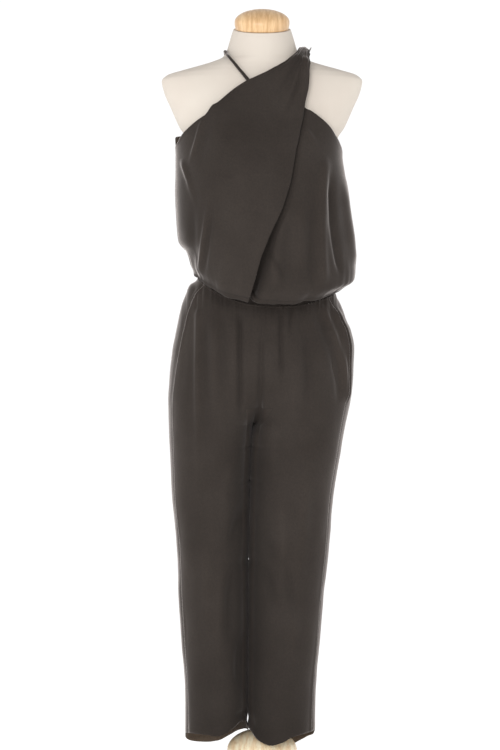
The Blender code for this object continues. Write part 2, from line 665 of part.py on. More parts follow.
def make_base(wood):
    """The turned base: a domed boss with a socket for the pole, a cove and a flat foot."""
    socket = POLE_RADIUS + FIT_GAP * 2
    profile = [
        (0.0, BOSS_TOP - SOCKET_DEPTH),
        (socket, BOSS_TOP - SOCKET_DEPTH),
    ]
    inner_angle = np.degrees(np.arcsin(socket / BOSS_RADIUS))
    for a in np.radians(np.linspace(inner_angle, 105, 9)):
        profile.append((BOSS_RADIUS * np.sin(a), BOSS_TOP - BOSS_FALL * (1 - np.cos(a))))
    waist_radius, waist_level = profile[-1]
    cove_wide = FOOT_RADIUS - 0.030 - waist_radius
    for a in np.radians(np.linspace(15, 90, 6)):
        profile.append((waist_radius + cove_wide * (1 - np.cos(a)),
                        FOOT_TALL + (waist_level - FOOT_TALL) * (1 - np.sin(a))))
    profile += [
        (FOOT_RADIUS - 0.008, FOOT_TALL - 0.002),
        (FOOT_RADIUS - 0.002, FOOT_TALL - 0.007),
        (FOOT_RADIUS, FOOT_TALL - 0.014),
        (FOOT_RADIUS, 0.004),
        (FOOT_RADIUS - 0.003, 0.0),
        (0.0, 0.0),
    ]
    return turned("form_base", profile, 56, wood)


def main():
    """Clear the scene and build every piece."""
    for old in list(bpy.data.objects):
        bpy.data.objects.remove(old, do_unlink=True)
    crepe = finish("black_crepe", (0.045, 0.036, 0.029), 0.85)
    jersey = finish("cream_jersey", (0.87, 0.79, 0.68), 0.8)
    wood = finish("pale_wood", (0.80, 0.58, 0.36), 0.4)
    steel = finish("steel", (0.55, 0.55, 0.55), 0.3, 1.0)
    make_wrap_front(crepe)
    make_under_front(crepe)
    make_back(crepe)
    make_waistband(crepe)
    for side in ("left", "right"):
        for face in ("front", "back"):
            make_trouser_panel(side, face, crepe)
        make_pocket_facing(side, crepe)
    make_strap(crepe)
    make_torso(jersey)
    make_neck_cap(wood)
    make_pole(steel)
    make_base(wood)


main()
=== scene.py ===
# %% [markdown]
# # A wrapped one-shoulder jumpsuit on a dress form
# This lesson dresses a form in thin black crepe. The imported solids give the places and sizes,
# and all of them but the pole are replaced here by a finer surface: cloth with gathers and folds, a jersey
# torso, and turned wood. Everything is in metres, +Z up, and the wearer faces -Y, so the
# wearer's left is +X. We start by loading the solids, which stay fixed.

# %% Load the solids
import bmesh
import bpy
import numpy as np
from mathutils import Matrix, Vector


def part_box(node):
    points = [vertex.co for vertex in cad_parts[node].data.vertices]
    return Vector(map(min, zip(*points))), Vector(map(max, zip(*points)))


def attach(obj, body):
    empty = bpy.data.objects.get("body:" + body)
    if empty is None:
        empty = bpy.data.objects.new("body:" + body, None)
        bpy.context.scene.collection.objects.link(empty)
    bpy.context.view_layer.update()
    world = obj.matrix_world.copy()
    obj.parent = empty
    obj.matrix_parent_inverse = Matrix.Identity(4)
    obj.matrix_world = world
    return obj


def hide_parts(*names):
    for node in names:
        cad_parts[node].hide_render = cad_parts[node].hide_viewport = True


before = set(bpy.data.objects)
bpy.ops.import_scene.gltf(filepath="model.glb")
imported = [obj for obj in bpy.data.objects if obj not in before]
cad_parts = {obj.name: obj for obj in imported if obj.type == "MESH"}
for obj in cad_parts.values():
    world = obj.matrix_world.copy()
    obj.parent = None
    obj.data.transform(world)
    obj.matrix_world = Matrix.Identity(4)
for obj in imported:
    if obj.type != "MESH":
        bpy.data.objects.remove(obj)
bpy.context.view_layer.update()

print("solids:", sorted(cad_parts))

# %% [markdown]
# ## Sizes that come from the solids
# A few levels are shared by many pieces. The foot's radius is read from its solid, and the
# waistband's box is printed, so that the levels used here can be compared with it.

# %% Levels
band_low, band_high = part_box("waistband")
FOOT_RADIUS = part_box("form_base")[1][0]
BAND_LEVEL = 1.0135      # mean height of the waistband's lower edge
BAND_TALL = 0.028
CROTCH = 0.750
HEM_LEVEL = 0.130
print("waistband from", round(band_low[2], 4), "to", round(band_high[2], 4))

# %% [markdown]
# ## Tables that become curves
# Patterns are easiest to keep as small tables: one row for each height, one column for each
# reach. A monotone cubic through the rows gives a smooth curve that never swings past its own
# numbers, which matters for cloth, because an overshoot shows as a bulge.

# %% Tables and soft steps
def table(names, *rows):
    """Rows of numbers as named columns; the first column is the one that is looked up."""
    columns = np.array(rows, dtype=float).T
    named = dict(zip(names.split(), columns))
    named["key"] = columns[0]
    return named


def read(chart, name, at):
    """Cubic Hermite through the rows, with each slope the harmonic mean of its neighbours."""
    order = np.argsort(chart["key"])
    keys, values = chart["key"][order], chart[name][order]
    steps = np.diff(keys)
    slopes = np.diff(values) / steps
    product = slopes[:-1] * slopes[1:]
    total = slopes[:-1] + slopes[1:]
    middle = np.where(product > 0, 2 * product / np.where(total == 0, 1, total), 0)
    tangents = np.concatenate(([slopes[0]], middle, [slopes[-1]]))
    at = np.clip(at, keys[0], keys[-1])
    row = np.clip(np.searchsorted(keys, at, side="right") - 1, 0, len(steps) - 1)
    t = (at - keys[row]) / steps[row]
    return (values[row] * (1 + 2 * t) * (1 - t) ** 2
            + tangents[row] * steps[row] * t * (1 - t) ** 2
            + values[row + 1] * t * t * (3 - 2 * t)
            + tangents[row + 1] * steps[row] * t * t * (t - 1))


def ease(start, end, value):
    """A soft step: 0 before start, 1 after end, a cubic between."""
    t = np.clip((value - start) / (end - start), 0, 1)
    return t * t * (3 - 2 * t)


def hump(centre, reach, value):
    """A bell of height 1: the exponential of minus the squared distance over the reach."""
    return np.exp(-((value - centre) / reach) ** 2)


# %% [markdown]
# ## Grids that become cloth
# Every panel is one grid of points. `grid_object` turns such a grid into quads, keeps a UV
# map in metres across and along the cloth, and Solidify gives it its two faces and a closed
# edge. Its wall is centred on the grid, so panels keep the gap that the grids were given.

# %% Mesh from a grid
# Painted light and shade: flat cloth keeps this share of the crepe's colour; painted highlights on ridges and
# at the sides go above it, painted shade in troughs, hollows, between the legs and under the roll goes below
# it.
FLAT_PAINTED_LIGHT = 0.72         # share of the crepe's own colour on flat cloth; ridges go above it


def grid_object(name, grid, material, closed=False, shade=None):
    """Quads over a grid of rows and columns; a closed grid joins its last column to its first.
    The painted light and shade, FLAT_PAINTED_LIGHT where nothing is given, is kept as the shade attribute for
    the material."""
    rows, columns = grid.shape[:2]
    spans = columns if closed else columns - 1
    r, c = np.meshgrid(np.arange(rows - 1), np.arange(spans), indexing="ij")
    right = (c + 1) % columns
    quads = np.stack((r * columns + c, r * columns + right,
                      (r + 1) * columns + right, (r + 1) * columns + c), axis=-1).reshape(-1, 4)
    mesh = bpy.data.meshes.new(name)
    mesh.from_pydata(grid.reshape(-1, 3), [], quads)
    across = np.linspace(0, np.linalg.norm(np.diff(grid[rows // 2], axis=0), axis=1).sum(), spans + 1)
    along = np.concatenate(([0], np.cumsum(np.linalg.norm(np.diff(grid[:, columns // 2], axis=0), axis=1))))
    corners = np.stack((across[np.stack((c, c + 1, c + 1, c), axis=-1)],
                        along[np.stack((r, r, r + 1, r + 1), axis=-1)]), axis=-1)
    mesh.uv_layers.new(name="cloth").data.foreach_set("uv", corners.reshape(-1).astype(np.float32))
    painted_light = np.broadcast_to(FLAT_PAINTED_LIGHT if shade is None else shade, (rows, columns)).reshape(-1)
    mesh.attributes.new("shade", "FLOAT", "POINT").data.foreach_set("value", painted_light.astype(np.float32))
    mesh.materials.append(material)
    mesh.shade_smooth()
    made = bpy.data.objects.new(name, mesh)
    bpy.context.collection.objects.link(made)
    return made


# %% [markdown]
# ## Folds
# Crepe is soft and heavy, so it falls in rounded ridges and troughs rather than sharp creases.
# Each main fold is written down as a start, a middle and an end, with a width and a
# height. A point's lift depends on its distance from that curve, so the folds stay where the
# cloth is really pulled, and each one can fade in or out at its ends.

# %% Fold lifts and slow unevenness
FOLD_COLUMNS = "x0 z0 x1 z1 x2 z2 width lift head tail".split()


def folds(*rows):
    """Folds as rows of a start, a middle and an end, seen from the front, with the fold's width
    and height and the shares of its length over which it fades in and out."""
    return [dict(zip(FOLD_COLUMNS, row)) for row in rows]


def fold_lift(chart, x, z):
    """Each fold is a parabola through three points. The lift across it is a bell, and along it
    fades in over the share head and out over the share tail."""
    total = np.zeros_like(x)
    t = np.linspace(0, 1, 19)
    for f in chart:
        pull_x = 2 * f["x1"] - (f["x0"] + f["x2"]) / 2
        pull_z = 2 * f["z1"] - (f["z0"] + f["z2"]) / 2
        path_x = (1 - t) ** 2 * f["x0"] + 2 * t * (1 - t) * pull_x + t * t * f["x2"]
        path_z = (1 - t) ** 2 * f["z0"] + 2 * t * (1 - t) * pull_z + t * t * f["z2"]
        nearest = np.full(x.shape, 9.0)
        share = np.zeros(x.shape)
        for k in range(len(t) - 1):
            run_x, run_z = path_x[k + 1] - path_x[k], path_z[k + 1] - path_z[k]
            s = ((x - path_x[k]) * run_x + (z - path_z[k]) * run_z) / (run_x ** 2 + run_z ** 2)
            s = np.clip(s, 0, 1)
            away = np.hypot(x - path_x[k] - s * run_x, z - path_z[k] - s * run_z)
            closer = away < nearest
            nearest = np.where(closer, away, nearest)
            share = np.where(closer, (k + s) / (len(t) - 1), share)
        along = ease(0, max(f["head"], 0.01), share) * (1 - ease(1 - max(f["tail"], 0.01), 1, share))
        total += f["lift"] * along * hump(0, f["width"], nearest)
    return total


def drift(a, b, size_a, size_b, seed):
    """Slow unevenness from -1 to 1: random numbers on a lattice, blended by soft steps."""
    lattice = np.random.default_rng(seed).uniform(-1, 1, (97, 97))
    p, q = np.broadcast_arrays(a / size_a + 40.0, b / size_b + 40.0)
    i, j = np.floor(p).astype(int), np.floor(q).astype(int)
    u, v = ease(0, 1, p - i), ease(0, 1, q - j)
    i, j = i % 96, j % 96
    return ((lattice[i, j] * (1 - u) + lattice[i + 1, j] * u) * (1 - v)
            + (lattice[i, j + 1] * (1 - u) + lattice[i + 1, j + 1] * u) * v)


def uneven(a, b, seed, *layers):
    """Layers of drift added up; each has a height and its two sizes, and its own seed."""
    return sum(height * drift(a, b, size_a, size_b, seed + k)
               for k, (height, size_a, size_b) in enumerate(layers))


def gathers(s, away, seed):
    """Cloth drawn up on a thread: close ripples that die out first, and wider ones that run on."""
    return (0.0010 * drift(s, away, 0.0038, 0.07, seed) * np.exp(-away / 0.040)
            + 0.0011 * drift(s, away, 0.0080, 0.14, seed + 1) * np.exp(-away / 0.070)
            + 0.0008 * drift(s, away, 0.0190, 0.30, seed + 2) * np.exp(-away / 0.16))


def pushed(grid, lift):
    """Move a grid's points along its own normals, the crossed slopes of its rows and columns."""
    normal = np.cross(np.gradient(grid, axis=1), np.gradient(grid, axis=0))
    normal /= np.maximum(np.linalg.norm(normal, axis=-1, keepdims=True), 1e-12)
    return grid + normal * lift[..., None]


# %% [markdown]
# ## Black crepe
# Crepe is woven from hard-twisted yarn, which leaves a fine pebbled face with no shine. The
# bumps come from small cells and a wider noise. Light that grazes the cloth catches its raised
# fibres, so the edges of the garment look greyer than its middle: that is what the sheen is
# for, and painted light makes the sides paler as well. A slow noise varies the black a little, as worn and
# pressed cloth does.

# %% Node helpers and the crepe
def new_material(name, **values):
    """A Principled material whose plain values sit on the shader's own sockets."""
    material = bpy.data.materials.new(name)
    material.use_nodes = True
    shader = material.node_tree.nodes["Principled BSDF"]
    for socket, value in values.items():
        shader.inputs[socket.replace("_", " ")].default_value = value
    return material, material.node_tree, shader


def node(tree, kind, **settings):
    """Add a node; names that fit a property set it, and the others set an input's value."""
    made = tree.nodes.new(kind)
    for name, value in settings.items():
        if hasattr(made, name):
            setattr(made, name, value)
        else:
            made.inputs[name.replace("_", " ")].default_value = value
    return made


def two_tones(tree, texture, low, high, start=0.0, end=1.0):
    """The colour of a ramp between two tones, driven by a texture's factor."""
    ramp = tree.nodes.new("ShaderNodeValToRGB")
    ramp.color_ramp.elements[0].color = (*low, 1)
    ramp.color_ramp.elements[1].color = (*high, 1)
    ramp.color_ramp.elements[0].position = start
    ramp.color_ramp.elements[1].position = end
    tree.links.new(texture.outputs["Fac"], ramp.inputs["Fac"])
    return ramp.outputs["Color"]


def scaled(tree, texture, low, high):
    """Carry a texture's 0 to 1 factor into another range."""
    span = node(tree, "ShaderNodeMapRange", To_Min=low, To_Max=high)
    tree.links.new(texture.outputs["Fac"], span.inputs["Value"])
    return span.outputs["Result"]


def laid_on(tree, textures, stretch=(1, 1, 1), turn=(0, 0, 0)):
    """Give the textures the object's own coordinates, stretched and turned."""
    mapping = node(tree, "ShaderNodeMapping", Scale=stretch, Rotation=turn)
    tree.links.new(node(tree, "ShaderNodeTexCoord").outputs["Object"], mapping.inputs["Vector"])
    for texture in textures:
        tree.links.new(mapping.outputs["Vector"], texture.inputs["Vector"])


def bumped(tree, shader, *layers):
    """Bumps one on another, ending in the shader; each has a height, a strength and a depth."""
    normal = None
    for height, strength, depth in layers:
        bump = node(tree, "ShaderNodeBump", Strength=strength, Distance=depth)
        tree.links.new(height, bump.inputs["Height"])
        if normal:
            tree.links.new(normal, bump.inputs["Normal"])
        normal = bump.outputs["Normal"]
    tree.links.new(normal, shader.inputs["Normal"])


def multiplied(tree, first, second, factor):
    """Two colours multiplied; the mix node's colour sockets are its seventh and eighth inputs."""
    mix = node(tree, "ShaderNodeMix", data_type="RGBA", blend_type="MULTIPLY")
    mix.inputs[0].default_value = factor
    tree.links.new(first, mix.inputs[6])
    tree.links.new(second, mix.inputs[7])
    return mix.outputs[2]


def grey(value):
    """A colour with three equal parts."""
    return value, value, value


def make_crepe(name, low, high, sheen):
    """Warm black between two tones, with a pebbled bump and fibres that catch grazing light. The
    shade attribute multiplies painted light and shade into it, and two fine noises fleck and mottle it."""
    material, tree, shader = new_material(
        name, Roughness=0.86, Specular_IOR_Level=0.26, Sheen_Weight=sheen, Sheen_Roughness=0.30,
        Sheen_Tint=(0.90, 0.83, 0.80, 1))
    slow = node(tree, "ShaderNodeTexNoise", Scale=9.0, Detail=3.0)
    grain = node(tree, "ShaderNodeTexNoise", Scale=1400.0, Detail=2.0)
    pebble = node(tree, "ShaderNodeTexVoronoi", feature="SMOOTH_F1", Scale=900.0)
    crinkle = node(tree, "ShaderNodeTexNoise", Scale=260.0, Detail=3.0, Roughness=0.6)
    laid_on(tree, (slow, grain, pebble, crinkle))
    tone = two_tones(tree, slow, low, high, 0.3, 0.7)
    fleck = two_tones(tree, grain, grey(0.62), grey(1.0), 0.35, 0.65)
    mottle = two_tones(tree, crinkle, grey(0.70), grey(1.0), 0.36, 0.62)
    # Painted light and shade, from the shade attribute, multiplied into the colour below.
    painted = node(tree, "ShaderNodeAttribute", attribute_name="shade")
    mottled = multiplied(tree, multiplied(tree, tone, fleck, 0.6), mottle, 0.6)
    dimmed = multiplied(tree, mottled, two_tones(tree, painted, grey(0.0), grey(1.0)), 1.0)
    tree.links.new(dimmed, shader.inputs["Base Color"])
    tree.links.new(scaled(tree, crinkle, 0.78, 0.94), shader.inputs["Roughness"])
    bumped(tree, shader, (pebble.outputs["Distance"], 0.35, 0.0003), (crinkle.outputs["Fac"], 0.25, 0.0008))
    return material


crepe = make_crepe("black_crepe", (0.0415, 0.031, 0.025), (0.0565, 0.044, 0.0365), 1.0)
# A shaded copy of the crepe for quads the light hardly reaches: little sheen and a lighter base, which
# painted shade dims.
crepe_shaded_copy = make_crepe("crepe_shaded_copy", (0.0755, 0.0565, 0.0455), (0.103, 0.080, 0.0665), 0.18)
# The inner wall is painted lighter and warmer: painted light for the light that comes through one thin layer,
# as inside a hem.
crepe_inside_painted_glow = make_crepe("crepe_inside_painted_glow", (0.24, 0.19, 0.155), (0.30, 0.245, 0.205), 0.30)
print("crepe ready")

# %% [markdown]
# ## Sewing a panel
# A panel gets a hair under a millimetre of thickness. Its inner wall is painted a lighter,
# warmer colour: painted light that stands in for the light that comes through a single layer
# of this thin cloth, as inside a hem. Quads that are sheltered from the light, such as those
# between the legs, take a shaded copy of the crepe, with hardly any sheen, since sheen would
# glow there, and a lighter base that the painted shade dims. Each panel replaces its solid and rides on the
# one body.

# %% Panels
CLOTH = 0.0007           # thickness of the crepe as modelled


def sew(name, grid, replaces, closed=False, shade=None, sheltered=None):
    """A finished panel: the grid, its wall and the solid it stands for. Slot 0 is crepe and slot 2 the
    sheltered crepe, and each has its inner wall's material after it."""
    panel = grid_object(name, grid, crepe, closed, shade)
    panel.data.materials.append(crepe_inside_painted_glow)
    if sheltered is not None:
        panel.data.materials.append(crepe_shaded_copy)
        panel.data.materials.append(crepe_inside_painted_glow)
        quads = np.broadcast_to(sheltered, grid.shape[:2])[:-1, :-1].reshape(-1)
        panel.data.polygons.foreach_set("material_index", np.where(quads, 2, 0).astype(np.int32))
    wall = panel.modifiers.new("wall", "SOLIDIFY")
    wall.thickness = CLOTH
    wall.offset = 0
    wall.material_offset = 1
    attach(panel, "root")
    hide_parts(replaces)


# %% [markdown]
# ## Rings round the body
# A body's ring is neither a circle nor one ellipse, because the reach differs to the front,
# the sides and the back. Four quarter ovals joined at the axes give a smooth ring with four
# reaches. Turns are counted from the wearer's left, over the front at 90 degrees.

# %% Oval rings
OVAL = 2.2


def power(value, exponent):
    """A sine or cosine raised to a power, with its sign kept."""
    return np.sign(value) * np.abs(value) ** exponent


def oval_point(reaches, degrees, oval=OVAL):
    """x and y of a ring of four quarter ovals: left, front, right and back reach."""
    left, front, right, back = reaches
    a = np.radians(degrees)
    side = np.where(np.cos(a) > 0, left, right)
    deep = np.where(np.sin(a) > 0, front, back)
    return side * power(np.cos(a), 2 / oval), -deep * power(np.sin(a), 2 / oval)


def round_the_ring(amounts, degrees):
    """Blend amounts given at 0, 90, 180 and 270 degrees: a mean, one cosine, one sine, and a
    cosine of twice the turn."""
    first, second, third, fourth = amounts
    a = np.radians(degrees)
    return ((first + second + third + fourth) / 4 + (first - third) / 2 * np.cos(a)
            + (second - fourth) / 2 * np.sin(a) + (first - second + third - fourth) / 4 * np.cos(2 * a))


WAIST_RISE = (0.0005, -0.0315, 0.0295, 0.0015)


def waist_rise(degrees, level, fades_from, fades_to):
    """The waist seam dips in front and rises on the wearer's right. This fades out between two
    levels above it, or below it when all three levels are given as negatives."""
    return round_the_ring(WAIST_RISE, degrees) * (1 - ease(fades_from, fades_to, level))


# %% [markdown]
# ## The bodice's own surface
# The blouse hangs from one gathered shoulder, stands well off the form's chest, and then
# rolls under itself at the waist, where elastic holds it. So its surface is described by how
# far down the cloth one has gone, `drop`, which keeps growing round the roll while the
# height turns back up.

# %% Bodice surface
ROLL = 0.4835            # drop at which the blouse turns in under itself, out of the light
ROLL_PAINTED_SHADE = 0.55         # how much of its tone the cloth keeps there
SEAM_RIGHT, SEAM_LEFT = 176.0, -4.0   # turns of the side seams
SEAM_HALF_GAP = 0.1      # degrees by which each panel stays clear of a side seam
BODICE_MEAN = 0.15       # mean radius, which turns degrees into metres round the body
BODICE = table(
    "drop height left front right back",
    (0.0000, 1.5070, 0.104, 0.0008, 0.104, 0.0008),
    (0.0015, 1.5055, 0.106, 0.0130, 0.106, 0.0130),
    (0.0050, 1.5020, 0.109, 0.0290, 0.109, 0.0290),
    (0.0120, 1.4950, 0.114, 0.0480, 0.114, 0.0460),
    (0.0220, 1.4850, 0.127, 0.0650, 0.127, 0.0630),
    (0.0340, 1.4730, 0.150, 0.0770, 0.150, 0.0760),
    (0.0470, 1.4600, 0.182, 0.0840, 0.182, 0.0860),
    (0.0670, 1.4400, 0.208, 0.0910, 0.208, 0.0960),
    (0.0920, 1.4150, 0.205, 0.0995, 0.205, 0.1045),
    (0.1220, 1.3850, 0.191, 0.109, 0.194, 0.111),
    (0.1620, 1.3450, 0.173, 0.123, 0.180, 0.116),
    (0.1870, 1.3200, 0.162, 0.133, 0.174, 0.118),
    (0.2190, 1.2880, 0.1605, 0.142, 0.171, 0.119),
    (0.2570, 1.2500, 0.1655, 0.148, 0.171, 0.120),
    (0.2910, 1.2160, 0.172, 0.150, 0.172, 0.120),
    (0.3390, 1.1680, 0.176, 0.150, 0.170, 0.120),
    (0.3870, 1.1200, 0.182, 0.149, 0.166, 0.122),
    (0.4220, 1.0850, 0.184, 0.149, 0.150, 0.126),
    (0.4470, 1.0600, 0.186, 0.150, 0.145, 0.130),
    (0.4650, 1.0420, 0.184, 0.149, 0.141, 0.130),
    (0.4790, 1.0300, 0.167, 0.144, 0.1355, 0.126),
    (0.4950, 1.0205, 0.154, 0.133, 0.1335, 0.118),
    (0.5080, 1.0240, 0.1515, 0.120, 0.1312, 0.107),
    (0.5300, 1.0405, 0.1495, 0.1062, 0.1310, 0.1005),
)


def bodice_surface(degrees, drop):
    """A ring point at the drop's reaches, at the drop's height plus the waist's dip."""
    x, y = oval_point([read(BODICE, name, drop) for name in ("left", "front", "right", "back")], degrees)
    level = blouse_level(drop)
    return np.stack((x, y, level + waist_rise(degrees, level, 1.045, 1.120)), axis=-1)


def panel_grid(chart, rows, columns, end_first=False):
    """Each line of the chart runs from a start to an end in turn and drop; the grid's rows are
    lines between them. Returns the turns, the drops and the share from start to end. Columns
    have to follow rising turns, so that faces point outwards."""
    along = np.interp(np.linspace(0, 1, rows), np.linspace(0, 1, len(chart["key"])), chart["key"])[:, None]
    u = np.linspace(1, 0, columns)[None, :] if end_first else np.linspace(0, 1, columns)[None, :]
    degrees = read(chart, "start_turn", along) * (1 - u) + read(chart, "end_turn", along) * u
    drop = read(chart, "start_drop", along) * (1 - u) + read(chart, "end_drop", along) * u
    return degrees, drop, u + 0 * along


def edge_distance(grid):
    """Distance along the cloth from the first column and from the last column."""
    step = np.linalg.norm(np.diff(grid, axis=1), axis=-1)
    from_first = np.concatenate((np.zeros((len(grid), 1)), np.cumsum(step, axis=1)), axis=1)
    return from_first, from_first[:, -1:] - from_first


def blouse_level(drop):
    """Height above the floor at a drop, before the waist's dip."""
    return read(BODICE, "height", drop)


def below_roll(drop, painted_light):
    """Where the cloth has turned in under the roll it is painted darker, as painted shade, and it is
    sheltered.
    """
    return np.where(drop > ROLL, ROLL_PAINTED_SHADE * painted_light, painted_light), drop > ROLL


def painted_fold_light(lift, painted_rim):
    """Painted light: ridges are painted lighter and troughs darker, since ridges catch more light than
    troughs do. At the sides the cloth is painted paler, for the light that the thin cloth lets through from
    behind."""
    return FLAT_PAINTED_LIGHT + 0.10 * np.clip(lift / 0.0045, -1.8, 1.0) + 0.18 * painted_rim


def turned_edge(away, band=0.007):
    """A narrow hem turned in and stitched: slightly thicker to the stitches, and a small
    groove along them."""
    return 0.00018 * (1 - ease(band - 0.001, band + 0.001, away)) - 0.00022 * hump(band, 0.0009, away)


# %% [markdown]
# ## The wrapped front
# This is the panel everyone sees: gathered on one shoulder, it crosses the chest and ends in
# a free diagonal edge. The lines below walk down the panel. Each runs from the neckline, and
# then the armhole and the side seam, to the free edge.

# %% Wrapped front: outline and main folds
WRAP_FRONT = table(
    "along start_turn start_drop end_turn end_drop",
    (0, 45.0, 0.0000, 27.0, 0.0004),
    (0.25, 53.5, 0.0128, 38.5, 0.0118),
    (0.5, 62.0, 0.0240, 48.0, 0.0240),
    (0.75, 73.5, 0.0385, 60.5, 0.0450),
    (1, 85.5, 0.0592, 66.0, 0.0660),
    (1.5, 92.0, 0.0751, 66.0, 0.0960),
    (2, 97.0, 0.0850, 66.0, 0.1230),
    (3, 111.5, 0.1210, 65.5, 0.1780),
    (4, 122.0, 0.1460, 69.5, 0.2340),
    (5, 139.0, 0.1700, 74.5, 0.2930),
    (5.5, 151.5, 0.1845, 76.8, 0.3145),
    (6, 163.0, 0.1985, 79.0, 0.3350),
    (6.5, 176.0, 0.2060, 81.5, 0.3530),
    (7, 176.0, 0.2400, 84.0, 0.3700),
    (8, 176.0, 0.3150, 87.5, 0.3970),
    (9, 176.0, 0.3870, 91.0, 0.4225),
    (10, 176.0, 0.4470, 95.0, 0.4520),
    (11, 176.0, 0.4950, 100.0, 0.4950),
    (12, 176.0, 0.5080, 101.0, 0.5080),
    (13, 176.0, 0.5300, 102.0, 0.5300),
)
WRAP_FOLDS = folds(
    (0.081, 1.480, 0.060, 1.410, 0.022, 1.352, 0.0055, 0.0030, 0.1, 0.7),
    (0.086, 1.478, 0.072, 1.400, 0.040, 1.322, 0.0060, 0.0032, 0.1, 0.7),
    (0.079, 1.475, 0.063, 1.400, 0.031, 1.335, 0.0050, -0.0028, 0.1, 0.7),
    (0.091, 1.475, 0.080, 1.400, 0.066, 1.310, 0.0055, 0.0030, 0.1, 0.6),
    (0.070, 1.484, 0.038, 1.440, -0.004, 1.404, 0.0060, 0.0022, 0.1, 0.7),
    (0.074, 1.478, 0.046, 1.425, 0.008, 1.380, 0.0050, -0.0024, 0.1, 0.7),
    (-0.1120, 1.358, -0.128, 1.300, -0.142, 1.255, 0.0040, 0.0042, 0.2, 0.5),
    (-0.1590, 1.276, -0.144, 1.235, -0.123, 1.160, 0.0045, 0.0044, 0.3, 0.6),
    (-0.0990, 1.205, -0.113, 1.115, -0.124, 1.040, 0.0045, 0.0044, 0.5, 0.25),
    (-0.0920, 1.200, -0.104, 1.115, -0.115, 1.035, 0.0055, -0.0034, 0.5, 0.3),
    (-0.1300, 1.200, -0.134, 1.120, -0.131, 1.060, 0.0085, -0.0034, 0.4, 0.3),
    (-0.1050, 1.345, -0.114, 1.290, -0.122, 1.240, 0.0100, -0.0026, 0.3, 0.6),
    (-0.0200, 1.300, -0.042, 1.200, -0.050, 1.080, 0.0200, 0.0014, 0.4, 0.4),
    (0.0200, 1.220, -0.002, 1.120, -0.022, 1.040, 0.0090, 0.0016, 0.4, 0.2),
    (-0.0600, 1.110, -0.074, 1.060, -0.082, 1.010, 0.0080, 0.0018, 0.5, 0.1),
    (-0.0300, 1.090, -0.040, 1.045, -0.046, 1.000, 0.0070, 0.0014, 0.5, 0.1),
)


# %% [markdown]
# The shoulder is where the cloth is bunched: two lumps stand on the seam, and pleats fan out
# below it. The lower part of the free edge stands off the panel beneath, so that a shadow
# runs along it, deepened by painted shade on the panel beneath, and the blouse's lower edge is puckered by
# the elastic behind it.

# %% Wrapped front: shape
WRAP_STANDS = 0.0016     # how far the wrapped front lies outside the bodice's surface


def shoulder_lumps(grid, drop):
    """Two lumps on the gathered seam, a narrow one by the neck and a rounder one outside, and a
    fall at the seam's outer end. The seam as a whole is pressed down a little."""
    near = np.exp(-drop / 0.010)
    x = grid[..., 0]
    lumps = 0.0032 * hump(0.0725, 0.0026, x) + 0.0030 * hump(0.0845, 0.0062, x)
    lumps -= 0.009 * ease(0.086, 0.098, x) + 0.005
    return grid + np.stack((0 * x, 0 * x, lumps * near), axis=-1)


def shoulder_pleats(u, drop, seed):
    """Pleats that fan out from the seam: ripples in the share across, dying out below."""
    ripples = uneven(u, drop, seed, (0.0018, 0.085, 0.30), (0.0007, 0.035, 0.20))
    downwards = np.exp(-drop / 0.070) * ease(0.0, 0.014, drop)
    return ripples * downwards * ease(0.0, 0.12, u) * (1 - ease(0.88, 1.0, u))


def blouse_puckers(degrees, drop, seed):
    """Lumps along the blouse's lower edge, where the elastic draws the cloth in."""
    s, level = np.radians(degrees) * BODICE_MEAN, blouse_level(drop)
    lumps = uneven(s, level, seed, (0.0022, 0.026, 0.20), (0.0010, 0.010, 0.10))
    return lumps * (1 - ease(1.030, 1.110, level))


def above_waist(drop):
    """1 on the blouse, fading to 0 where it is held flat under the elastic."""
    return 1 - ease(0.500, 0.526, drop)


def neckline_tucks(grid, degrees, start):
    """The neckline's own unevenness: it stands up at one fold and dips beside it."""
    rise = 0.0062 * hump(119.0, 3.4, degrees) - 0.0012 * hump(125.0, 2.5, degrees)
    return grid + np.stack((0 * start, 0 * start, rise * np.exp(-start / 0.016)), axis=-1)


def wrap_grid(rows, columns):
    """The wrapped front's points, its painted light and shade, and where it is sheltered."""
    degrees, drop, u = panel_grid(WRAP_FRONT, rows, columns, end_first=True)
    degrees = np.minimum(degrees, SEAM_RIGHT - SEAM_HALF_GAP)
    base = bodice_surface(degrees, drop)
    x, z = base[..., 0], base[..., 2]
    end, start = edge_distance(base)
    creases = fold_lift(WRAP_FOLDS, x, z) + shoulder_pleats(u, drop, 3)
    lift = creases + blouse_puckers(degrees, drop, 11) * above_waist(drop)
    lift += uneven(x, z, 21, (0.0012, 0.045, 0.070), (0.0005, 0.016, 0.022))
    low = ease(0.16, 0.40, drop)
    lift += low * (0.0022 * hump(0, 0.020, end) + 0.0014 * hump(0.034, 0.018, end))
    lift *= ease(0.0, 0.006, start) * (1 - 0.6 * hump(0.53, 0.03, drop))
    lift += turned_edge(end) + turned_edge(start) * (1 - ease(0.185, 0.206, drop)) + WRAP_STANDS
    grid = shoulder_lumps(pushed(neckline_tucks(base, degrees, start), lift), drop)
    # Painted light: paler towards the wearer's right side seam, with painted shade under the roll.
    return grid, *below_roll(drop, painted_fold_light(creases, ease(150.0, 177.0, degrees)))


grid, painted_light, sheltered = wrap_grid(230, 130)
sew("wrap_front", grid, "bodice_wrap_front",
    shade=painted_light, sheltered=sheltered)


# %% [markdown]
# ## The front beneath
# The wearer's left front runs on under the wrap. Where it passes below the free edge it drops
# to a lower layer, and beside the lower half of that edge it sinks further, which leaves the
# dark hollow that shows that the front is wrapped and not sewn down. The hollow is dark partly
# from its own shadow and partly from painted shade.

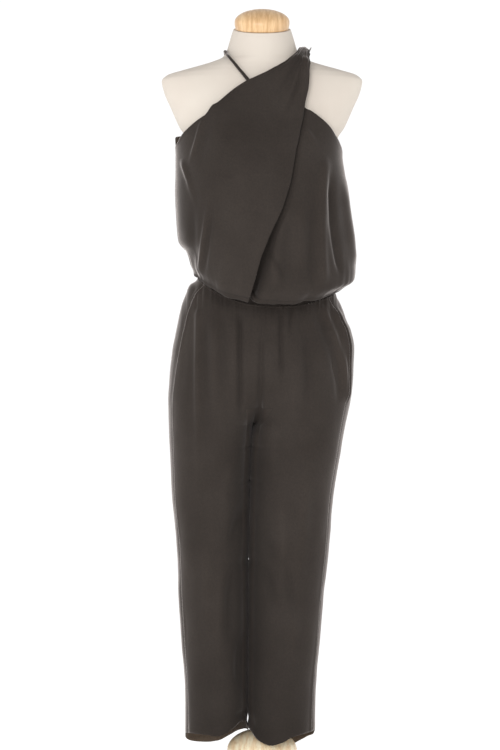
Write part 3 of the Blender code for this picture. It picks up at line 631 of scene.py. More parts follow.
# %% Under front
UNDER_FRONT = table(
    "along start_turn start_drop end_turn end_drop",
    (0, 44.0, 0.0012, 23.0, 0.0016),
    (0.5, 56.0, 0.0220, 46.0, 0.0245),
    (1, 78.0, 0.0620, 68.0, 0.0670),
    (2, 82.0, 0.1150, 67.5, 0.1230),
    (3, 82.0, 0.1700, 65.5, 0.1350),
    (4, 85.0, 0.2150, 56.5, 0.1500),
    (5, 90.0, 0.2600, 45.5, 0.1650),
    (6, 96.0, 0.3050, 34.5, 0.1785),
    (7, 101.0, 0.3400, 19.0, 0.2000),
    (8, 106.0, 0.3750, -4.0, 0.2325),
    (9, 112.0, 0.4100, -4.0, 0.2900),
    (10, 117.0, 0.4400, -4.0, 0.3650),
    (11, 120.0, 0.4700, -4.0, 0.4400),
    (12, 122.0, 0.4950, -4.0, 0.4950),
    (13, 122.5, 0.5080, -4.0, 0.5080),
    (14, 123.0, 0.5300, -4.0, 0.5300),
)
UNDER_FOLDS = folds(
    (0.0810, 1.330, 0.0945, 1.310, 0.1080, 1.287, 0.0050, 0.0024, 0.3, 0.6),
    (0.1243, 1.285, 0.1160, 1.160, 0.1185, 1.020, 0.0085, 0.0058, 0.2, 0.1),
    (0.1330, 1.250, 0.1370, 1.130, 0.1560, 1.040, 0.0065, -0.0062, 0.2, 0.2),
    (0.1600, 1.245, 0.1720, 1.145, 0.1830, 1.060, 0.0080, 0.0056, 0.3, 0.2),
    (0.0100, 1.100, 0.0260, 1.064, 0.0460, 1.042, 0.0050, -0.0046, 0.3, 0.5),
    (0.0180, 1.082, 0.0240, 1.050, 0.0300, 1.020, 0.0075, 0.0040, 0.3, 0.3),
    (0.0700, 1.240, 0.0720, 1.140, 0.0660, 1.030, 0.0150, 0.0030, 0.4, 0.2),
    (0.0960, 1.200, 0.0930, 1.110, 0.0950, 1.020, 0.0090, -0.0032, 0.4, 0.2),
    (0.0480, 1.170, 0.0440, 1.090, 0.0360, 1.010, 0.0090, -0.0030, 0.4, 0.2),
)


def free_edge_turn(drop):
    """Turn of the wrap's free edge at a drop, from the wrap's own table."""
    return np.interp(drop, WRAP_FRONT["end_drop"], WRAP_FRONT["end_turn"])


def hollow_beside_edge(drop, past):
    """1 in the hollow beside the free edge, which starts halfway down and widens below."""
    share = ease(0.33, 0.45, drop) * (1 - ease(0.485, 0.507, drop))
    return share * (1 - ease(1.5, 5.0 + 4.0 * ease(0.38, 0.46, drop), past))


def under_grid(rows, columns):
    """The under front's points, its painted light and shade, and where it is sheltered."""
    degrees, drop = panel_grid(UNDER_FRONT, rows, columns, end_first=True)[:2]
    degrees = np.maximum(degrees, SEAM_LEFT + SEAM_HALF_GAP)
    base = bodice_surface(degrees, drop)
    x, z = base[..., 0], base[..., 2]
    past = free_edge_turn(drop) - degrees
    covered = 1 - ease(0.8, 5.0, past)
    end = edge_distance(base)[0]
    creases = fold_lift(UNDER_FOLDS, x, z)
    lift = creases + blouse_puckers(degrees, drop, 13)
    lift += uneven(x, z, 31, (0.0012, 0.045, 0.070), (0.0005, 0.016, 0.022))
    lift *= (1 - covered) * above_waist(drop) * ease(0.0, 0.008, end)
    behind = 0.0046 + 0.0019 * ease(0.25, 0.40, drop)
    lift -= behind * covered * (1 - 0.5 * ease(0.508, 0.530, drop))
    lift -= 0.0150 * hollow_beside_edge(drop, past) + 0.0015 * (1 - ease(0.03, 0.12, drop))
    lift += turned_edge(end) * (1 - ease(0.20, 0.229, drop))
    # Painted light: paler towards the wearer's left side seam.
    painted_rim = 1.5 * (1 - ease(0.0, 34.0, degrees))
    return pushed(base, lift), *below_roll(drop, painted_fold_light(creases, painted_rim) * under_painted_shade(drop, past))


def under_painted_shade(drop, past):
    """Painted shade: the cloth is painted darkest in the hollow and just beside the free edge, where little
    light gets.
    """
    beside = ease(0.5, 3.0, past)
    return 1 - 0.28 * (1 - beside) - 0.15 * hollow_beside_edge(drop, past) * beside


grid, painted_light, sheltered = under_grid(200, 110)
sew("under_front", grid, "bodice_under_front",
    shade=painted_light, sheltered=sheltered)


# %% [markdown]
# ## The back
# The back follows the same surface behind the body. Its pleats fan from the same shoulder,
# and its folds are a little different from the front's, because nothing pulls both alike.

# %% Bodice back
BACK = table(
    "along start_turn start_drop end_turn end_drop",
    (0, 315.0, 0.0000, 335.0, 0.0004),
    (0.5, 302.0, 0.0160, 320.0, 0.0200),
    (1, 286.0, 0.0420, 304.0, 0.0500),
    (2, 272.0, 0.0620, 306.0, 0.0850),
    (3, 253.0, 0.0860, 312.0, 0.1200),
    (4, 234.0, 0.1280, 320.0, 0.1500),
    (5, 209.0, 0.1690, 334.0, 0.1870),
    (5.8, 188.0, 0.1800, 347.0, 0.2118),
    (6.2, 180.5, 0.1980, 352.6, 0.2240),
    (6.5, 176.0, 0.2060, 356.0, 0.2330),
    (7, 176.0, 0.2400, 356.0, 0.2650),
    (8, 176.0, 0.3150, 356.0, 0.3300),
    (9, 176.0, 0.3870, 356.0, 0.3950),
    (10, 176.0, 0.4470, 356.0, 0.4500),
    (11, 176.0, 0.4950, 356.0, 0.4950),
    (12, 176.0, 0.5080, 356.0, 0.5080),
    (13, 176.0, 0.5300, 356.0, 0.5300),
)
BACK_FOLDS = folds(
    (0.084, 1.480, 0.058, 1.400, 0.014, 1.330, 0.0060, 0.0030, 0.1, 0.7),
    (0.090, 1.475, 0.078, 1.390, 0.052, 1.290, 0.0060, 0.0030, 0.1, 0.6),
    (0.080, 1.475, 0.050, 1.410, 0.002, 1.350, 0.0050, -0.0026, 0.1, 0.7),
    (0.095, 1.470, 0.092, 1.390, 0.090, 1.300, 0.0055, -0.0022, 0.1, 0.6),
    (-0.145, 1.290, -0.120, 1.220, -0.104, 1.100, 0.0080, 0.0040, 0.3, 0.5),
    (-0.100, 1.210, -0.092, 1.130, -0.098, 1.040, 0.0080, -0.0036, 0.4, 0.2),
    (0.140, 1.260, 0.126, 1.170, 0.134, 1.060, 0.0080, 0.0046, 0.3, 0.3),
    (0.112, 1.190, 0.104, 1.110, 0.100, 1.030, 0.0085, -0.0038, 0.4, 0.2),
    (-0.030, 1.200, -0.018, 1.110, -0.024, 1.030, 0.0140, 0.0036, 0.5, 0.2),
    (0.040, 1.220, 0.052, 1.120, 0.046, 1.030, 0.0120, -0.0034, 0.4, 0.2),
    (0.010, 1.150, 0.016, 1.090, 0.012, 1.030, 0.0080, 0.0028, 0.4, 0.1),
    (-0.062, 1.170, -0.056, 1.100, -0.060, 1.030, 0.0080, 0.0026, 0.4, 0.1),
)


def back_grid(rows, columns):
    """The bodice back's points."""
    degrees, drop, u = panel_grid(BACK, rows, columns)
    degrees = np.clip(degrees, SEAM_RIGHT + SEAM_HALF_GAP, 360 + SEAM_LEFT - SEAM_HALF_GAP)
    base = bodice_surface(degrees, drop)
    x, z = base[..., 0], base[..., 2]
    start, end = edge_distance(base)
    lift = fold_lift(BACK_FOLDS, x, z) + shoulder_pleats(1 - u, drop, 5) + blouse_puckers(degrees, drop, 15)
    lift += uneven(x, z, 41, (0.0013, 0.050, 0.080), (0.0005, 0.018, 0.024))
    lift *= ease(0, 0.008, start) * ease(0, 0.008, end) * above_waist(drop)
    lift += turned_edge(start) * (1 - ease(0.185, 0.206, drop))
    lift += turned_edge(end) * (1 - ease(0.20, 0.233, drop))
    return shoulder_lumps(pushed(base, lift), drop)


sew("back_bodice", back_grid(185, 138), "bodice_back")

# %% [markdown]
# ## The elastic waist
# A casing with elastic in it joins the blouse to the trousers. It is a ring whose upper and
# lower edge both dip in front, and the elastic puckers it into short upright ripples, drawn
# inwards so that they stay clear of the cloth that is gathered on to them.

# %% Waist casing
BAND_REACHES = (0.1465, 0.1029, 0.1280, 0.0975)   # left, front, right and back
BAND_MEAN = 0.125        # mean radius, which turns degrees into metres round the casing


def casing_grid(rows, columns):
    """A tall ring with puckers that are deepest halfway up and still where the ring closes."""
    degrees = np.linspace(0, 360, columns, endpoint=False)[None, :]
    level = np.linspace(BAND_LEVEL + BAND_TALL, BAND_LEVEL, rows)[:, None]
    x, y = oval_point(BAND_REACHES, degrees)
    ring = np.stack((x + 0 * level, y + 0 * level, level + round_the_ring(WAIST_RISE, degrees)), axis=-1)
    s = np.radians(degrees) * BAND_MEAN + 0 * level
    ripple = 0.5 + 0.5 * drift(s, level, 0.0040, 0.030, 51)
    middle = np.sin(np.pi * (level - BAND_LEVEL) / BAND_TALL)
    blend = ease(0, 0.02, s) * (1 - ease(0.765, 0.785, s))
    return pushed(ring, -0.0020 * ripple * (0.4 + 0.6 * middle) * blend)


sew("waist_casing", casing_grid(12, 420), "waistband",
    closed=True)

# %% [markdown]
# ## The trousers' surface
# A leg is a stack of half ovals. Above the crotch the inner end of each half stays on the
# centre seam and keeps most of its depth, because two legs share one seat there. Below it
# the halves close into a tube. The legs lean against each other all the way down, so hardly
# any light shows between them.

# %% Leg tables
LEG = table(
    "level left_outer left_crest right_outer right_crest front back",
    (1.0125, 0.1470, 0.004, 0.1285, 0.004, 0.1035, 0.0980),
    (1.000, 0.1540, 0.005, 0.1440, 0.005, 0.1130, 0.1090),
    (0.985, 0.1600, 0.006, 0.1530, 0.006, 0.1200, 0.1190),
    (0.964, 0.1670, 0.008, 0.1620, 0.008, 0.1260, 0.1290),
    (0.940, 0.1780, 0.010, 0.1690, 0.010, 0.1300, 0.1360),
    (0.905, 0.1840, 0.014, 0.1780, 0.014, 0.1330, 0.1420),
    (0.868, 0.1825, 0.026, 0.1840, 0.030, 0.1320, 0.1430),
    (0.844, 0.1815, 0.038, 0.1860, 0.048, 0.1290, 0.1400),
    (0.796, 0.1760, 0.060, 0.1880, 0.078, 0.1210, 0.1310),
    (0.748, 0.1660, 0.070, 0.1860, 0.098, 0.1120, 0.1200),
    (0.700, 0.1580, 0.069, 0.1840, 0.103, 0.1050, 0.1110),
    (0.604, 0.1420, 0.058, 0.1800, 0.103, 0.0970, 0.1030),
    (0.508, 0.1345, 0.053, 0.1700, 0.099, 0.0920, 0.0980),
    (0.412, 0.1240, 0.047, 0.1660, 0.097, 0.0870, 0.0930),
    (0.316, 0.1162, 0.043, 0.1600, 0.094, 0.0820, 0.0890),
    (0.220, 0.1080, 0.039, 0.1540, 0.092, 0.0780, 0.0860),
    (0.130, 0.1050, 0.038, 0.1520, 0.091, 0.0760, 0.0850),
)
RISE = table(
    "level seam front_left back_left",
    (1.0125, 0.000, 1.000, 1.000),
    (0.900, 0.000, 0.990, 0.985),
    (0.860, 0.000, 0.975, 0.970),
    (0.830, -0.001, 0.940, 0.930),
    (0.800, -0.003, 0.850, 0.830),
    (0.780, -0.006, 0.720, 0.690),
    (0.765, -0.010, 0.520, 0.480),
    (0.756, -0.014, 0.290, 0.260),
    (0.750, -0.017, 0.000, 0.000),
    (0.700, -0.021, 0.000, 0.000),
    (0.640, -0.024, 0.000, 0.000),
    (0.484, -0.027, 0.000, 0.000),
    (0.130, -0.029, 0.000, 0.000),
)
# Height of each hem over the mean, round the leg: 0 outer side, 90 front, 180 inner, -90 back.
HEM = table(
    "round left right",
    (-180, 0.0160, 0.0080),
    (-160, 0.0100, 0.0060),
    (-130, -0.0040, -0.0040),
    (-110, -0.0280, -0.0170),
    (-90, -0.0370, -0.0290),
    (-76, -0.0370, -0.0310),
    (-57, -0.0260, -0.0285),
    (-35, -0.0120, -0.0220),
    (-18, -0.0040, -0.0140),
    (0, 0.0100, -0.0030),
    (20, 0.0150, 0.0100),
    (45, 0.0150, 0.0150),
    (65, 0.0130, 0.0155),
    (76, 0.0100, 0.0155),
    (90, 0.0000, 0.0130),
    (107, -0.0060, 0.0180),
    (122, -0.0020, 0.0280),
    (139, 0.0060, 0.0370),
    (152, 0.0170, 0.0370),
    (166, 0.0200, 0.0240),
    (180, 0.0160, 0.0080),
)
SIDE_SIGN = {"left": 1, "right": -1}
SEAM_TURN = 28.0         # degrees by which the side seam lies in front of the leg's outer side

# %% [markdown]
# The half gap between the legs is a hair below nothing nearly everywhere, because the soft
# inner sides press on each other. At a few heights it opens to a slit.

# %% Leg surface
SLITS = ((0.8, 0.708, 0.004), (0.8, 0.640, 0.004), (0.4, 0.622, 0.003), (0.8, 0.482, 0.008),
         (1.1, 0.152, 0.018))    # how open, at which level, and how tall


def half_gap(level):
    """Half the gap at the inner ends: the centre seam's above the crotch, and below it legs that
    press on each other but for a few slits."""
    slits = sum(share * hump(at, tall, level) for share, at, tall in SLITS)
    return -0.0003 + (-0.0008 + 0.0028 * slits) * (1 - ease(CROTCH, 0.765, level))


def soft_greater(first, second):
    """The greater of two shares, rounded where they meet, and 1 wherever either is 1."""
    first, second = np.clip(first, 0, 1) ** 3, np.clip(second, 0, 1) ** 3
    return (first + second - first * second) ** (1 / 3)


def leg_surface(side, face):
    """x runs as a sine or cosine of the degrees from the outer reach over the crest to the
    inner end, and y as the other one; degrees below 0 go on round to the other half."""
    sign = SIDE_SIGN[side]
    facing = -1 if face == "front" else 1

    def point(degrees, level):
        outer = sign * read(LEG, side + "_outer", level)
        crest = sign * read(LEG, side + "_crest", level)
        near = read(LEG, face, level)
        far = read(LEG, "back" if face == "front" else "front", level)
        end = read(RISE, "seam", level) + sign * half_gap(level)
        left_over = read(RISE, face + "_left", level)
        out = np.radians(np.clip(degrees, -90, 90))
        inner = np.radians(np.clip(degrees - 90, 0, 90))
        x = crest + (outer - crest) * power(np.cos(out), 2 / OVAL)
        x = np.where(degrees > 90, crest + (end - crest) * power(np.sin(inner), 2 / OVAL), x)
        y = np.where(degrees < 0, far, near) * power(np.sin(out), 2 / OVAL)
        inner_y = near * soft_greater(power(np.cos(inner), 2 / OVAL), left_over)
        y = facing * np.where(degrees > 90, inner_y, y)
        round_body = -facing * np.clip(degrees, -90, 90)
        round_body = round_body if side == "left" else 180 - round_body
        z = level + waist_rise(round_body, -level, -BAND_LEVEL, -0.880)
        z = z + read(HEM, side, -facing * degrees) * (1 - ease(HEM_LEVEL, 0.215, level))
        return np.stack((x, y, z), axis=-1)

    return point


def leg_degrees(side, face, level, share):
    """Degrees at a share of the way from the side seam inwards, even along the cloth."""
    deep = read(LEG, face, level)
    crest = read(LEG, side + "_crest", level)
    outer_run = read(LEG, side + "_outer", level) - crest + deep
    inner_run = (crest - SIDE_SIGN[side] * read(RISE, "seam", level)
                 + deep * (1 - read(RISE, face + "_left", level)))
    start = SEAM_TURN if face == "front" else -SEAM_TURN
    first = outer_run * (90 - start) / 90
    way = share * (first + inner_run)
    return np.where(way < first, start + (90 - start) * way / first,
                    90 + 90 * (way - first) / np.maximum(inner_run, 1e-6))


# %% [markdown]
# ## Trouser folds
# Long troughs hang from the gathers at the waist, one seam runs down the middle, and short
# folds pull from the crotch. A soft pressed ridge runs down each leg. The pocket mouths lie
# in the side seams, and the wearer's left one gapes, so two pale rims follow the hip there.

# %% Trouser folds
FRONT_FOLDS = folds(
    (-0.1265, 0.985, -0.1255, 0.840, -0.1255, 0.580, 0.0060, 0.0042, 0.1, 0.5),
    (-0.1120, 0.970, -0.1100, 0.840, -0.1080, 0.680, 0.0090, -0.0030, 0.2, 0.5),
    (-0.0433, 0.985, -0.0433, 0.860, -0.0410, 0.752, 0.0055, -0.0058, 0.15, 0.3),
    (-0.0540, 0.960, -0.0550, 0.870, -0.0540, 0.780, 0.0075, 0.0022, 0.2, 0.4),
    (-0.0030, 0.950, -0.0028, 0.850, -0.0060, 0.760, 0.0055, -0.0036, 0.3, 0.2),
    (0.0358, 0.990, 0.0358, 0.900, 0.0400, 0.820, 0.0055, -0.0052, 0.15, 0.4),
    (0.0533, 0.990, 0.0533, 0.950, 0.0533, 0.915, 0.0042, -0.0034, 0.2, 0.5),
    (0.0800, 0.955, 0.0880, 0.860, 0.0840, 0.740, 0.0110, -0.0050, 0.3, 0.5),
    (0.0600, 0.910, 0.0630, 0.830, 0.0560, 0.740, 0.0120, 0.0026, 0.3, 0.5),
    (-0.0760, 0.980, -0.0780, 0.880, -0.0740, 0.780, 0.0075, -0.0032, 0.2, 0.5),
    (-0.0930, 0.960, -0.0940, 0.870, -0.0900, 0.740, 0.0090, 0.0024, 0.3, 0.5),
    (0.1136, 0.992, 0.1529, 0.889, 0.1640, 0.800, 0.0060, 0.0048, 0.1, 0.3),
    (0.1000, 0.985, 0.1370, 0.885, 0.1490, 0.800, 0.0090, -0.0034, 0.2, 0.4),
    (0.0020, 0.800, -0.0110, 0.758, -0.0260, 0.715, 0.0085, -0.0036, 0.4, 0.5),
    (0.0140, 0.765, 0.0200, 0.715, 0.0230, 0.650, 0.0090, 0.0030, 0.3, 0.5),
    (-0.0320, 0.610, -0.0500, 0.560, -0.0680, 0.480, 0.0120, -0.0048, 0.6, 0.4),
    (-0.0480, 0.500, -0.0640, 0.400, -0.0540, 0.290, 0.0110, -0.0062, 0.4, 0.5),
    (-0.0060, 0.560, 0.0140, 0.515, 0.0400, 0.470, 0.0110, -0.0042, 0.5, 0.5),
    (0.0000, 0.500, 0.0180, 0.430, 0.0420, 0.400, 0.0110, -0.0050, 0.4, 0.5),
    (0.0620, 0.400, 0.0600, 0.340, 0.0540, 0.270, 0.0110, 0.0034, 0.4, 0.5),
    (-0.1100, 0.560, -0.1060, 0.420, -0.1040, 0.260, 0.0130, 0.0040, 0.4, 0.5),
    (0.0900, 0.700, 0.0800, 0.560, 0.0700, 0.420, 0.0120, 0.0040, 0.4, 0.5),
    (-0.0560, 0.690, -0.0680, 0.640, -0.0740, 0.560, 0.0120, 0.0030, 0.4, 0.5),
    (0.0300, 0.640, 0.0400, 0.540, 0.0360, 0.440, 0.0110, 0.0036, 0.4, 0.5),
    (-0.0400, 0.360, -0.0480, 0.280, -0.0400, 0.200, 0.0090, -0.0044, 0.4, 0.5),
    (0.0440, 0.520, 0.0560, 0.430, 0.0660, 0.380, 0.0090, -0.0036, 0.4, 0.5),
    (-0.0760, 0.500, -0.0860, 0.380, -0.0800, 0.240, 0.0110, 0.0036, 0.4, 0.5),
)
BACK_LEG_FOLDS = folds(
    (-0.0480, 0.985, -0.0500, 0.880, -0.0460, 0.770, 0.0065, -0.0048, 0.2, 0.4),
    (0.0440, 0.985, 0.0460, 0.890, 0.0500, 0.790, 0.0065, -0.0046, 0.2, 0.4),
    (-0.0880, 0.975, -0.0900, 0.880, -0.0860, 0.760, 0.0080, -0.0036, 0.2, 0.5),
    (0.0820, 0.975, 0.0880, 0.880, 0.0900, 0.780, 0.0080, 0.0032, 0.2, 0.5),
    (0.0000, 0.960, 0.0000, 0.870, -0.0060, 0.770, 0.0060, -0.0030, 0.3, 0.2),
    (0.1300, 0.940, 0.1380, 0.860, 0.1300, 0.740, 0.0090, 0.0036, 0.3, 0.5),
    (-0.1320, 0.950, -0.1360, 0.860, -0.1340, 0.700, 0.0090, 0.0034, 0.3, 0.5),
    (-0.0120, 0.760, -0.0500, 0.735, -0.0900, 0.745, 0.0090, -0.0042, 0.2, 0.5),
    (0.0080, 0.765, 0.0440, 0.738, 0.0860, 0.752, 0.0090, -0.0040, 0.2, 0.5),
    (-0.0180, 0.730, -0.0440, 0.690, -0.0800, 0.670, 0.0090, -0.0034, 0.2, 0.5),
    (0.0060, 0.730, 0.0300, 0.690, 0.0560, 0.676, 0.0090, -0.0034, 0.2, 0.5),
    (-0.1060, 0.620, -0.0980, 0.460, -0.1000, 0.280, 0.0110, 0.0032, 0.4, 0.5),
    (0.0640, 0.620, 0.0540, 0.460, 0.0500, 0.280, 0.0110, 0.0030, 0.4, 0.5),
    (-0.0560, 0.560, -0.0620, 0.440, -0.0560, 0.300, 0.0120, -0.0030, 0.4, 0.5),
    (0.0120, 0.560, 0.0180, 0.420, 0.0140, 0.280, 0.0120, -0.0028, 0.4, 0.5),
)
print("front folds:", len(FRONT_FOLDS), "back folds:", len(BACK_LEG_FOLDS))

# %% [markdown]
# A trouser panel is one grid from the waist to the hem, with rows closer together near the
# waist, the crotch and the hem. Seams show because both panels dip a little over the last
# two millimetres before them.

# %% Trouser panels
def leg_rows(count):
    """Levels from the waist down, closer where the shape changes fastest."""
    marks = np.array((1.0165, 0.985, 0.930, 0.800, 0.745, 0.700, 0.500, 0.200, 0.130))
    share = np.array((0.0, 0.10, 0.24, 0.42, 0.56, 0.61, 0.76, 0.93, 1.0))
    return np.interp(np.linspace(0, 1, count), share, marks)


def inward_share(side, face, columns):
    """A row of shares from 0 at the side seam to 1 at the inner end, in the columns' order."""
    rising = (side == "left") == (face == "front")
    return (np.linspace(0, 1, columns) if rising else np.linspace(1, 0, columns))[None, :]


def between_legs(level, inwards):
    """True near the inseam, where the other leg keeps the light off."""
    return (inwards > 0.77) & (level < 0.785)


def trouser_painted_shade(level, inwards):
    """Painted shade: between the legs little light gets in, so the cloth there is painted darker towards the
    inseam;
    near the crotch the shaded copy is painted darker still, to match its lighter base. The legs are also
    darker towards the hems.
    """
    dim = 1 - 0.50 * ease(0.42, 1.0, inwards) * (1 - ease(0.66, 0.80, level))
    dim = dim * (1 - 0.16 * (1 - ease(0.10, 0.55, level)))
    return dim * np.where(between_legs(level, inwards), 1 - 0.36 * ease(0.725, 0.752, level), 1)


MOUTH_OPEN = {"left": 1.0, "right": 0.12}


def mouth_lift(side, face, level, outside):
    """How open the pocket's mouth is, and how far it lifts the cloth: the front edge stands out
    and the back edge dips below it. The wearer's right mouth hardly opens."""
    mouth = MOUTH_OPEN[side] * ease(0.790, 0.815, level) * (1 - ease(0.965, 0.990, level))
    if face == "front":
        edge = 0.0058 * np.exp(-outside / 0.016) + 0.0005 * hump(0.0, 0.0050, outside)
        return mouth, mouth * (edge - 0.0030 * hump(0.028, 0.012, outside))
    return mouth, mouth * (0.0036 * hump(0.016, 0.008, outside) - 0.0026 * hump(0.0, 0.008, outside))


FOLD_SEEDS = {"front": 60, "back": 80}
EDGE_SHARE = 0.0003      # share of a panel's width that is left free at each seam
SEAM_SHARE = 0.3         # a mouth less open than this is sewn, and shows the side seam


def trouser_grid(side, face, rows, columns):
    """One leg's front or back panel, its painted light and shade, and where it is sheltered."""
    level = leg_rows(rows)[:, None]
    inwards = inward_share(side, face, columns)
    share = EDGE_SHARE + (1 - 2 * EDGE_SHARE) * inwards + 0 * level
    base = leg_surface(side, face)(leg_degrees(side, face, level, share), level)
    x, z = base[..., 0], base[..., 2]
    first, last = edge_distance(base)
    outside, inside = (first, last) if inwards[0, 0] == 0 else (last, first)
    seed = FOLD_SEEDS[face] + (0 if side == "left" else 7)
    free = ease(0.0, 0.008, inside)
    joined = ease(CROTCH, 0.775, level)
    lift = gathers(x, LEG["key"][0] - level, seed)
    lift = (lift + uneven(x, z, seed + 3, (0.0014, 0.050, 0.120), (0.0005, 0.016, 0.030))) * free
    creases = fold_lift(FRONT_FOLDS if face == "front" else BACK_LEG_FOLDS, x, z)
    creases = creases * (joined + (1 - joined) * free)
    mouth, gape = mouth_lift(side, face, z, outside)
    lift = (lift + creases) * ease(0.0, 0.012, outside) + gape
    sewn = (mouth <= SEAM_SHARE) * hump(0, 0.0022, outside)
    lift -= 0.00015 * sewn + 0.0003 * hump(0, 0.0022, inside) * joined
    lift += 0.0008 * ease(1.006, 1.012, level) + turned_edge(level - HEM_LEVEL, 0.018)
    # Painted light and shade: paler towards the side seam, lighter on ridges, darker in troughs and between
    # the legs.
    painted_light = painted_fold_light(creases, 1 - ease(0.0, 0.055, outside)) * trouser_painted_shade(level, inwards)
    return pushed(base, lift), painted_light, between_legs(level, inwards)


for side in ("left", "right"):
    for face, rows, columns in (("front", 262, 152), ("back", 205, 112)):
        grid, painted_light, sheltered = trouser_grid(side, face, rows, columns)
        sew(f"leg_{face}_{side}", grid, f"trouser_{face}_{side}",
            shade=painted_light, sheltered=sheltered)

# %% [markdown]
# ## Pockets
# Behind each mouth lies a strip of the pocket, a few millimetres below the trouser panels.
# It closes the view into the mouth, as a real pocket's facing does.

# %% Pocket facings
FACING_DEPTH = 0.0045    # how far a facing lies below the trouser panels


def facing_grid(side, rows, columns):
    """A strip of the front's surface round the side seam, moved inwards."""
    level = np.linspace(0.975, 0.800, rows)[:, None]
    turns = np.linspace(-6, 18, columns) if side == "left" else np.linspace(18, -6, columns)
    base = leg_surface(side, "front")(SEAM_TURN + turns[None, :] + 0 * level, level)
    return pushed(base, 0.0005 * drift(base[..., 1], base[..., 2], 0.02, 0.03, 99) - FACING_DEPTH)


for side in ("left", "right"):
    sew("pocket_" + side, facing_grid(side, 60, 24), "pocket_facing_" + side)

# %% [markdown]
# ## The neck strap
# A thin rouleau, a bias strip sewn into a tube and turned right side out, holds the top of
# the wrap from round the neck. A circle carried along the route makes it; a slow pinch and
# a twist keep it from looking like wire.

# %% Strap
STRAP_ROUTE = table(
    "number x y z",
    (0, -0.0245, -0.0893, 1.4215),
    (1, -0.0338, -0.0850, 1.4335),
    (2, -0.0455, -0.0780, 1.4485),
    (3, -0.0573, -0.0680, 1.4648),
    (4, -0.0652, -0.0560, 1.4760),
    (5, -0.0695, -0.0358, 1.4846),
    (6, -0.0734, -0.0124, 1.4948),
    (7, -0.0728, 0.0115, 1.4940),
    (8, -0.0710, 0.0387, 1.4855),
    (9, -0.0650, 0.0680, 1.4690),
    (10, -0.0565, 0.0865, 1.4470),
    (11, -0.0500, 0.0940, 1.4240),
)


def closed_tube(path, radius, sides):
    """A ring of points at each step of the path, square to it, with both ends drawn shut."""
    forward = np.gradient(path, axis=0)
    forward /= np.linalg.norm(forward, axis=1, keepdims=True)
    across = np.cross(forward, (1.0, 0.0, 0.0))
    across /= np.linalg.norm(across, axis=1, keepdims=True)
    over = np.cross(forward, across)
    turn = np.linspace(0, 2 * np.pi, sides, endpoint=False)[None, :, None]
    shut = np.ones(len(path))
    shut[:4] = (0.0, 0.55, 0.85, 0.96)
    shut[-4:] = (0.96, 0.85, 0.55, 0.0)
    reach = (radius * shut)[:, None, None]
    flat = 1 + 0.10 * np.sin(2 * turn + np.linspace(0, 9, len(path))[:, None, None])
    return path[:, None] + reach * flat * (np.cos(turn) * across[:, None] + np.sin(turn) * over[:, None])


def weld(made):
    """Merge the points that a pole's row leaves on one spot, so that the surface is closed."""
    tidy = bmesh.new()
    tidy.from_mesh(made.data)
    bmesh.ops.remove_doubles(tidy, verts=tidy.verts, dist=1e-6)
    tidy.to_mesh(made.data)
    tidy.free()


def closed_piece(name, grid, material, replaces):
    """A closed surface that rides on the one body in place of its solid."""
    made = grid_object(name, grid, material, closed=True)
    weld(made)
    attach(made, "root")
    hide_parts(replaces)
    print(name, "has", len(made.data.polygons), "faces")


STRAP_RADIUS = 0.0033
at = np.linspace(0, 11, 160)
route = np.stack([read(STRAP_ROUTE, axis, at) for axis in "xyz"], axis=-1)
for _ in range(6):
    route[1:-1] = (route[:-2] + 2 * route[1:-1] + route[2:]) / 4
closed_piece("strap", closed_tube(route, STRAP_RADIUS, 20), crepe, "neck_strap")
print("strap length", round(float(np.linalg.norm(np.diff(route, axis=0), axis=1).sum()), 4))

# %% [markdown]
# ## Jersey on the form
# The torso is padded and covered with fine cream jersey. Knit shows upright ribs, called
# wales, about a millimetre apart, crossed by rows of stitches. Two waves in the bump give
# both, and a slow noise lets the cream vary a little.

# %% Jersey
def make_jersey():
    """Cream knit: two crossed waves as bump, a soft change of tone, and a little fuzz."""
    material, tree, shader = new_material(
        "cream_jersey", Roughness=0.88, Specular_IOR_Level=0.25, Sheen_Weight=0.12,
        Sheen_Roughness=0.5, Sheen_Tint=(1.0, 0.97, 0.93, 1))
    slow = node(tree, "ShaderNodeTexNoise", Scale=7.0, Detail=3.0)
    fuzz = node(tree, "ShaderNodeTexNoise", Scale=700.0, Detail=2.0)
    wales = node(tree, "ShaderNodeTexWave", bands_direction="X", Scale=270.0, Distortion=1.2, Detail=1.0)
    stitches = node(tree, "ShaderNodeTexWave", bands_direction="Z", Scale=330.0, Distortion=1.2, Detail=1.0)
    laid_on(tree, (slow, fuzz, wales, stitches))
    tone = two_tones(tree, slow, (0.65, 0.58, 0.51), (0.70, 0.64, 0.565), 0.3, 0.7)
    tree.links.new(tone, shader.inputs["Base Color"])
    tree.links.new(scaled(tree, fuzz, 0.80, 0.95), shader.inputs["Roughness"])
    knit = node(tree, "ShaderNodeMath", operation="MULTIPLY")
    tree.links.new(wales.outputs["Fac"], knit.inputs[0])
    tree.links.new(stitches.outputs["Fac"], knit.inputs[1])
    bumped(tree, shader, (knit.outputs["Value"], 0.20, 0.0004), (fuzz.outputs["Fac"], 0.15, 0.0004))
    return material


jersey = make_jersey()

# %% [markdown]
# ## The torso
# A limbless form is one smooth body: hips, waist, bust, and shoulders that end in rounded
# tips. Stacked rings make it, each from a half width and two depths. Near the neck the rings
# tip forward, so the neck's top leans as a standing person's does. Rows that shrink to a
# point close it above and below.

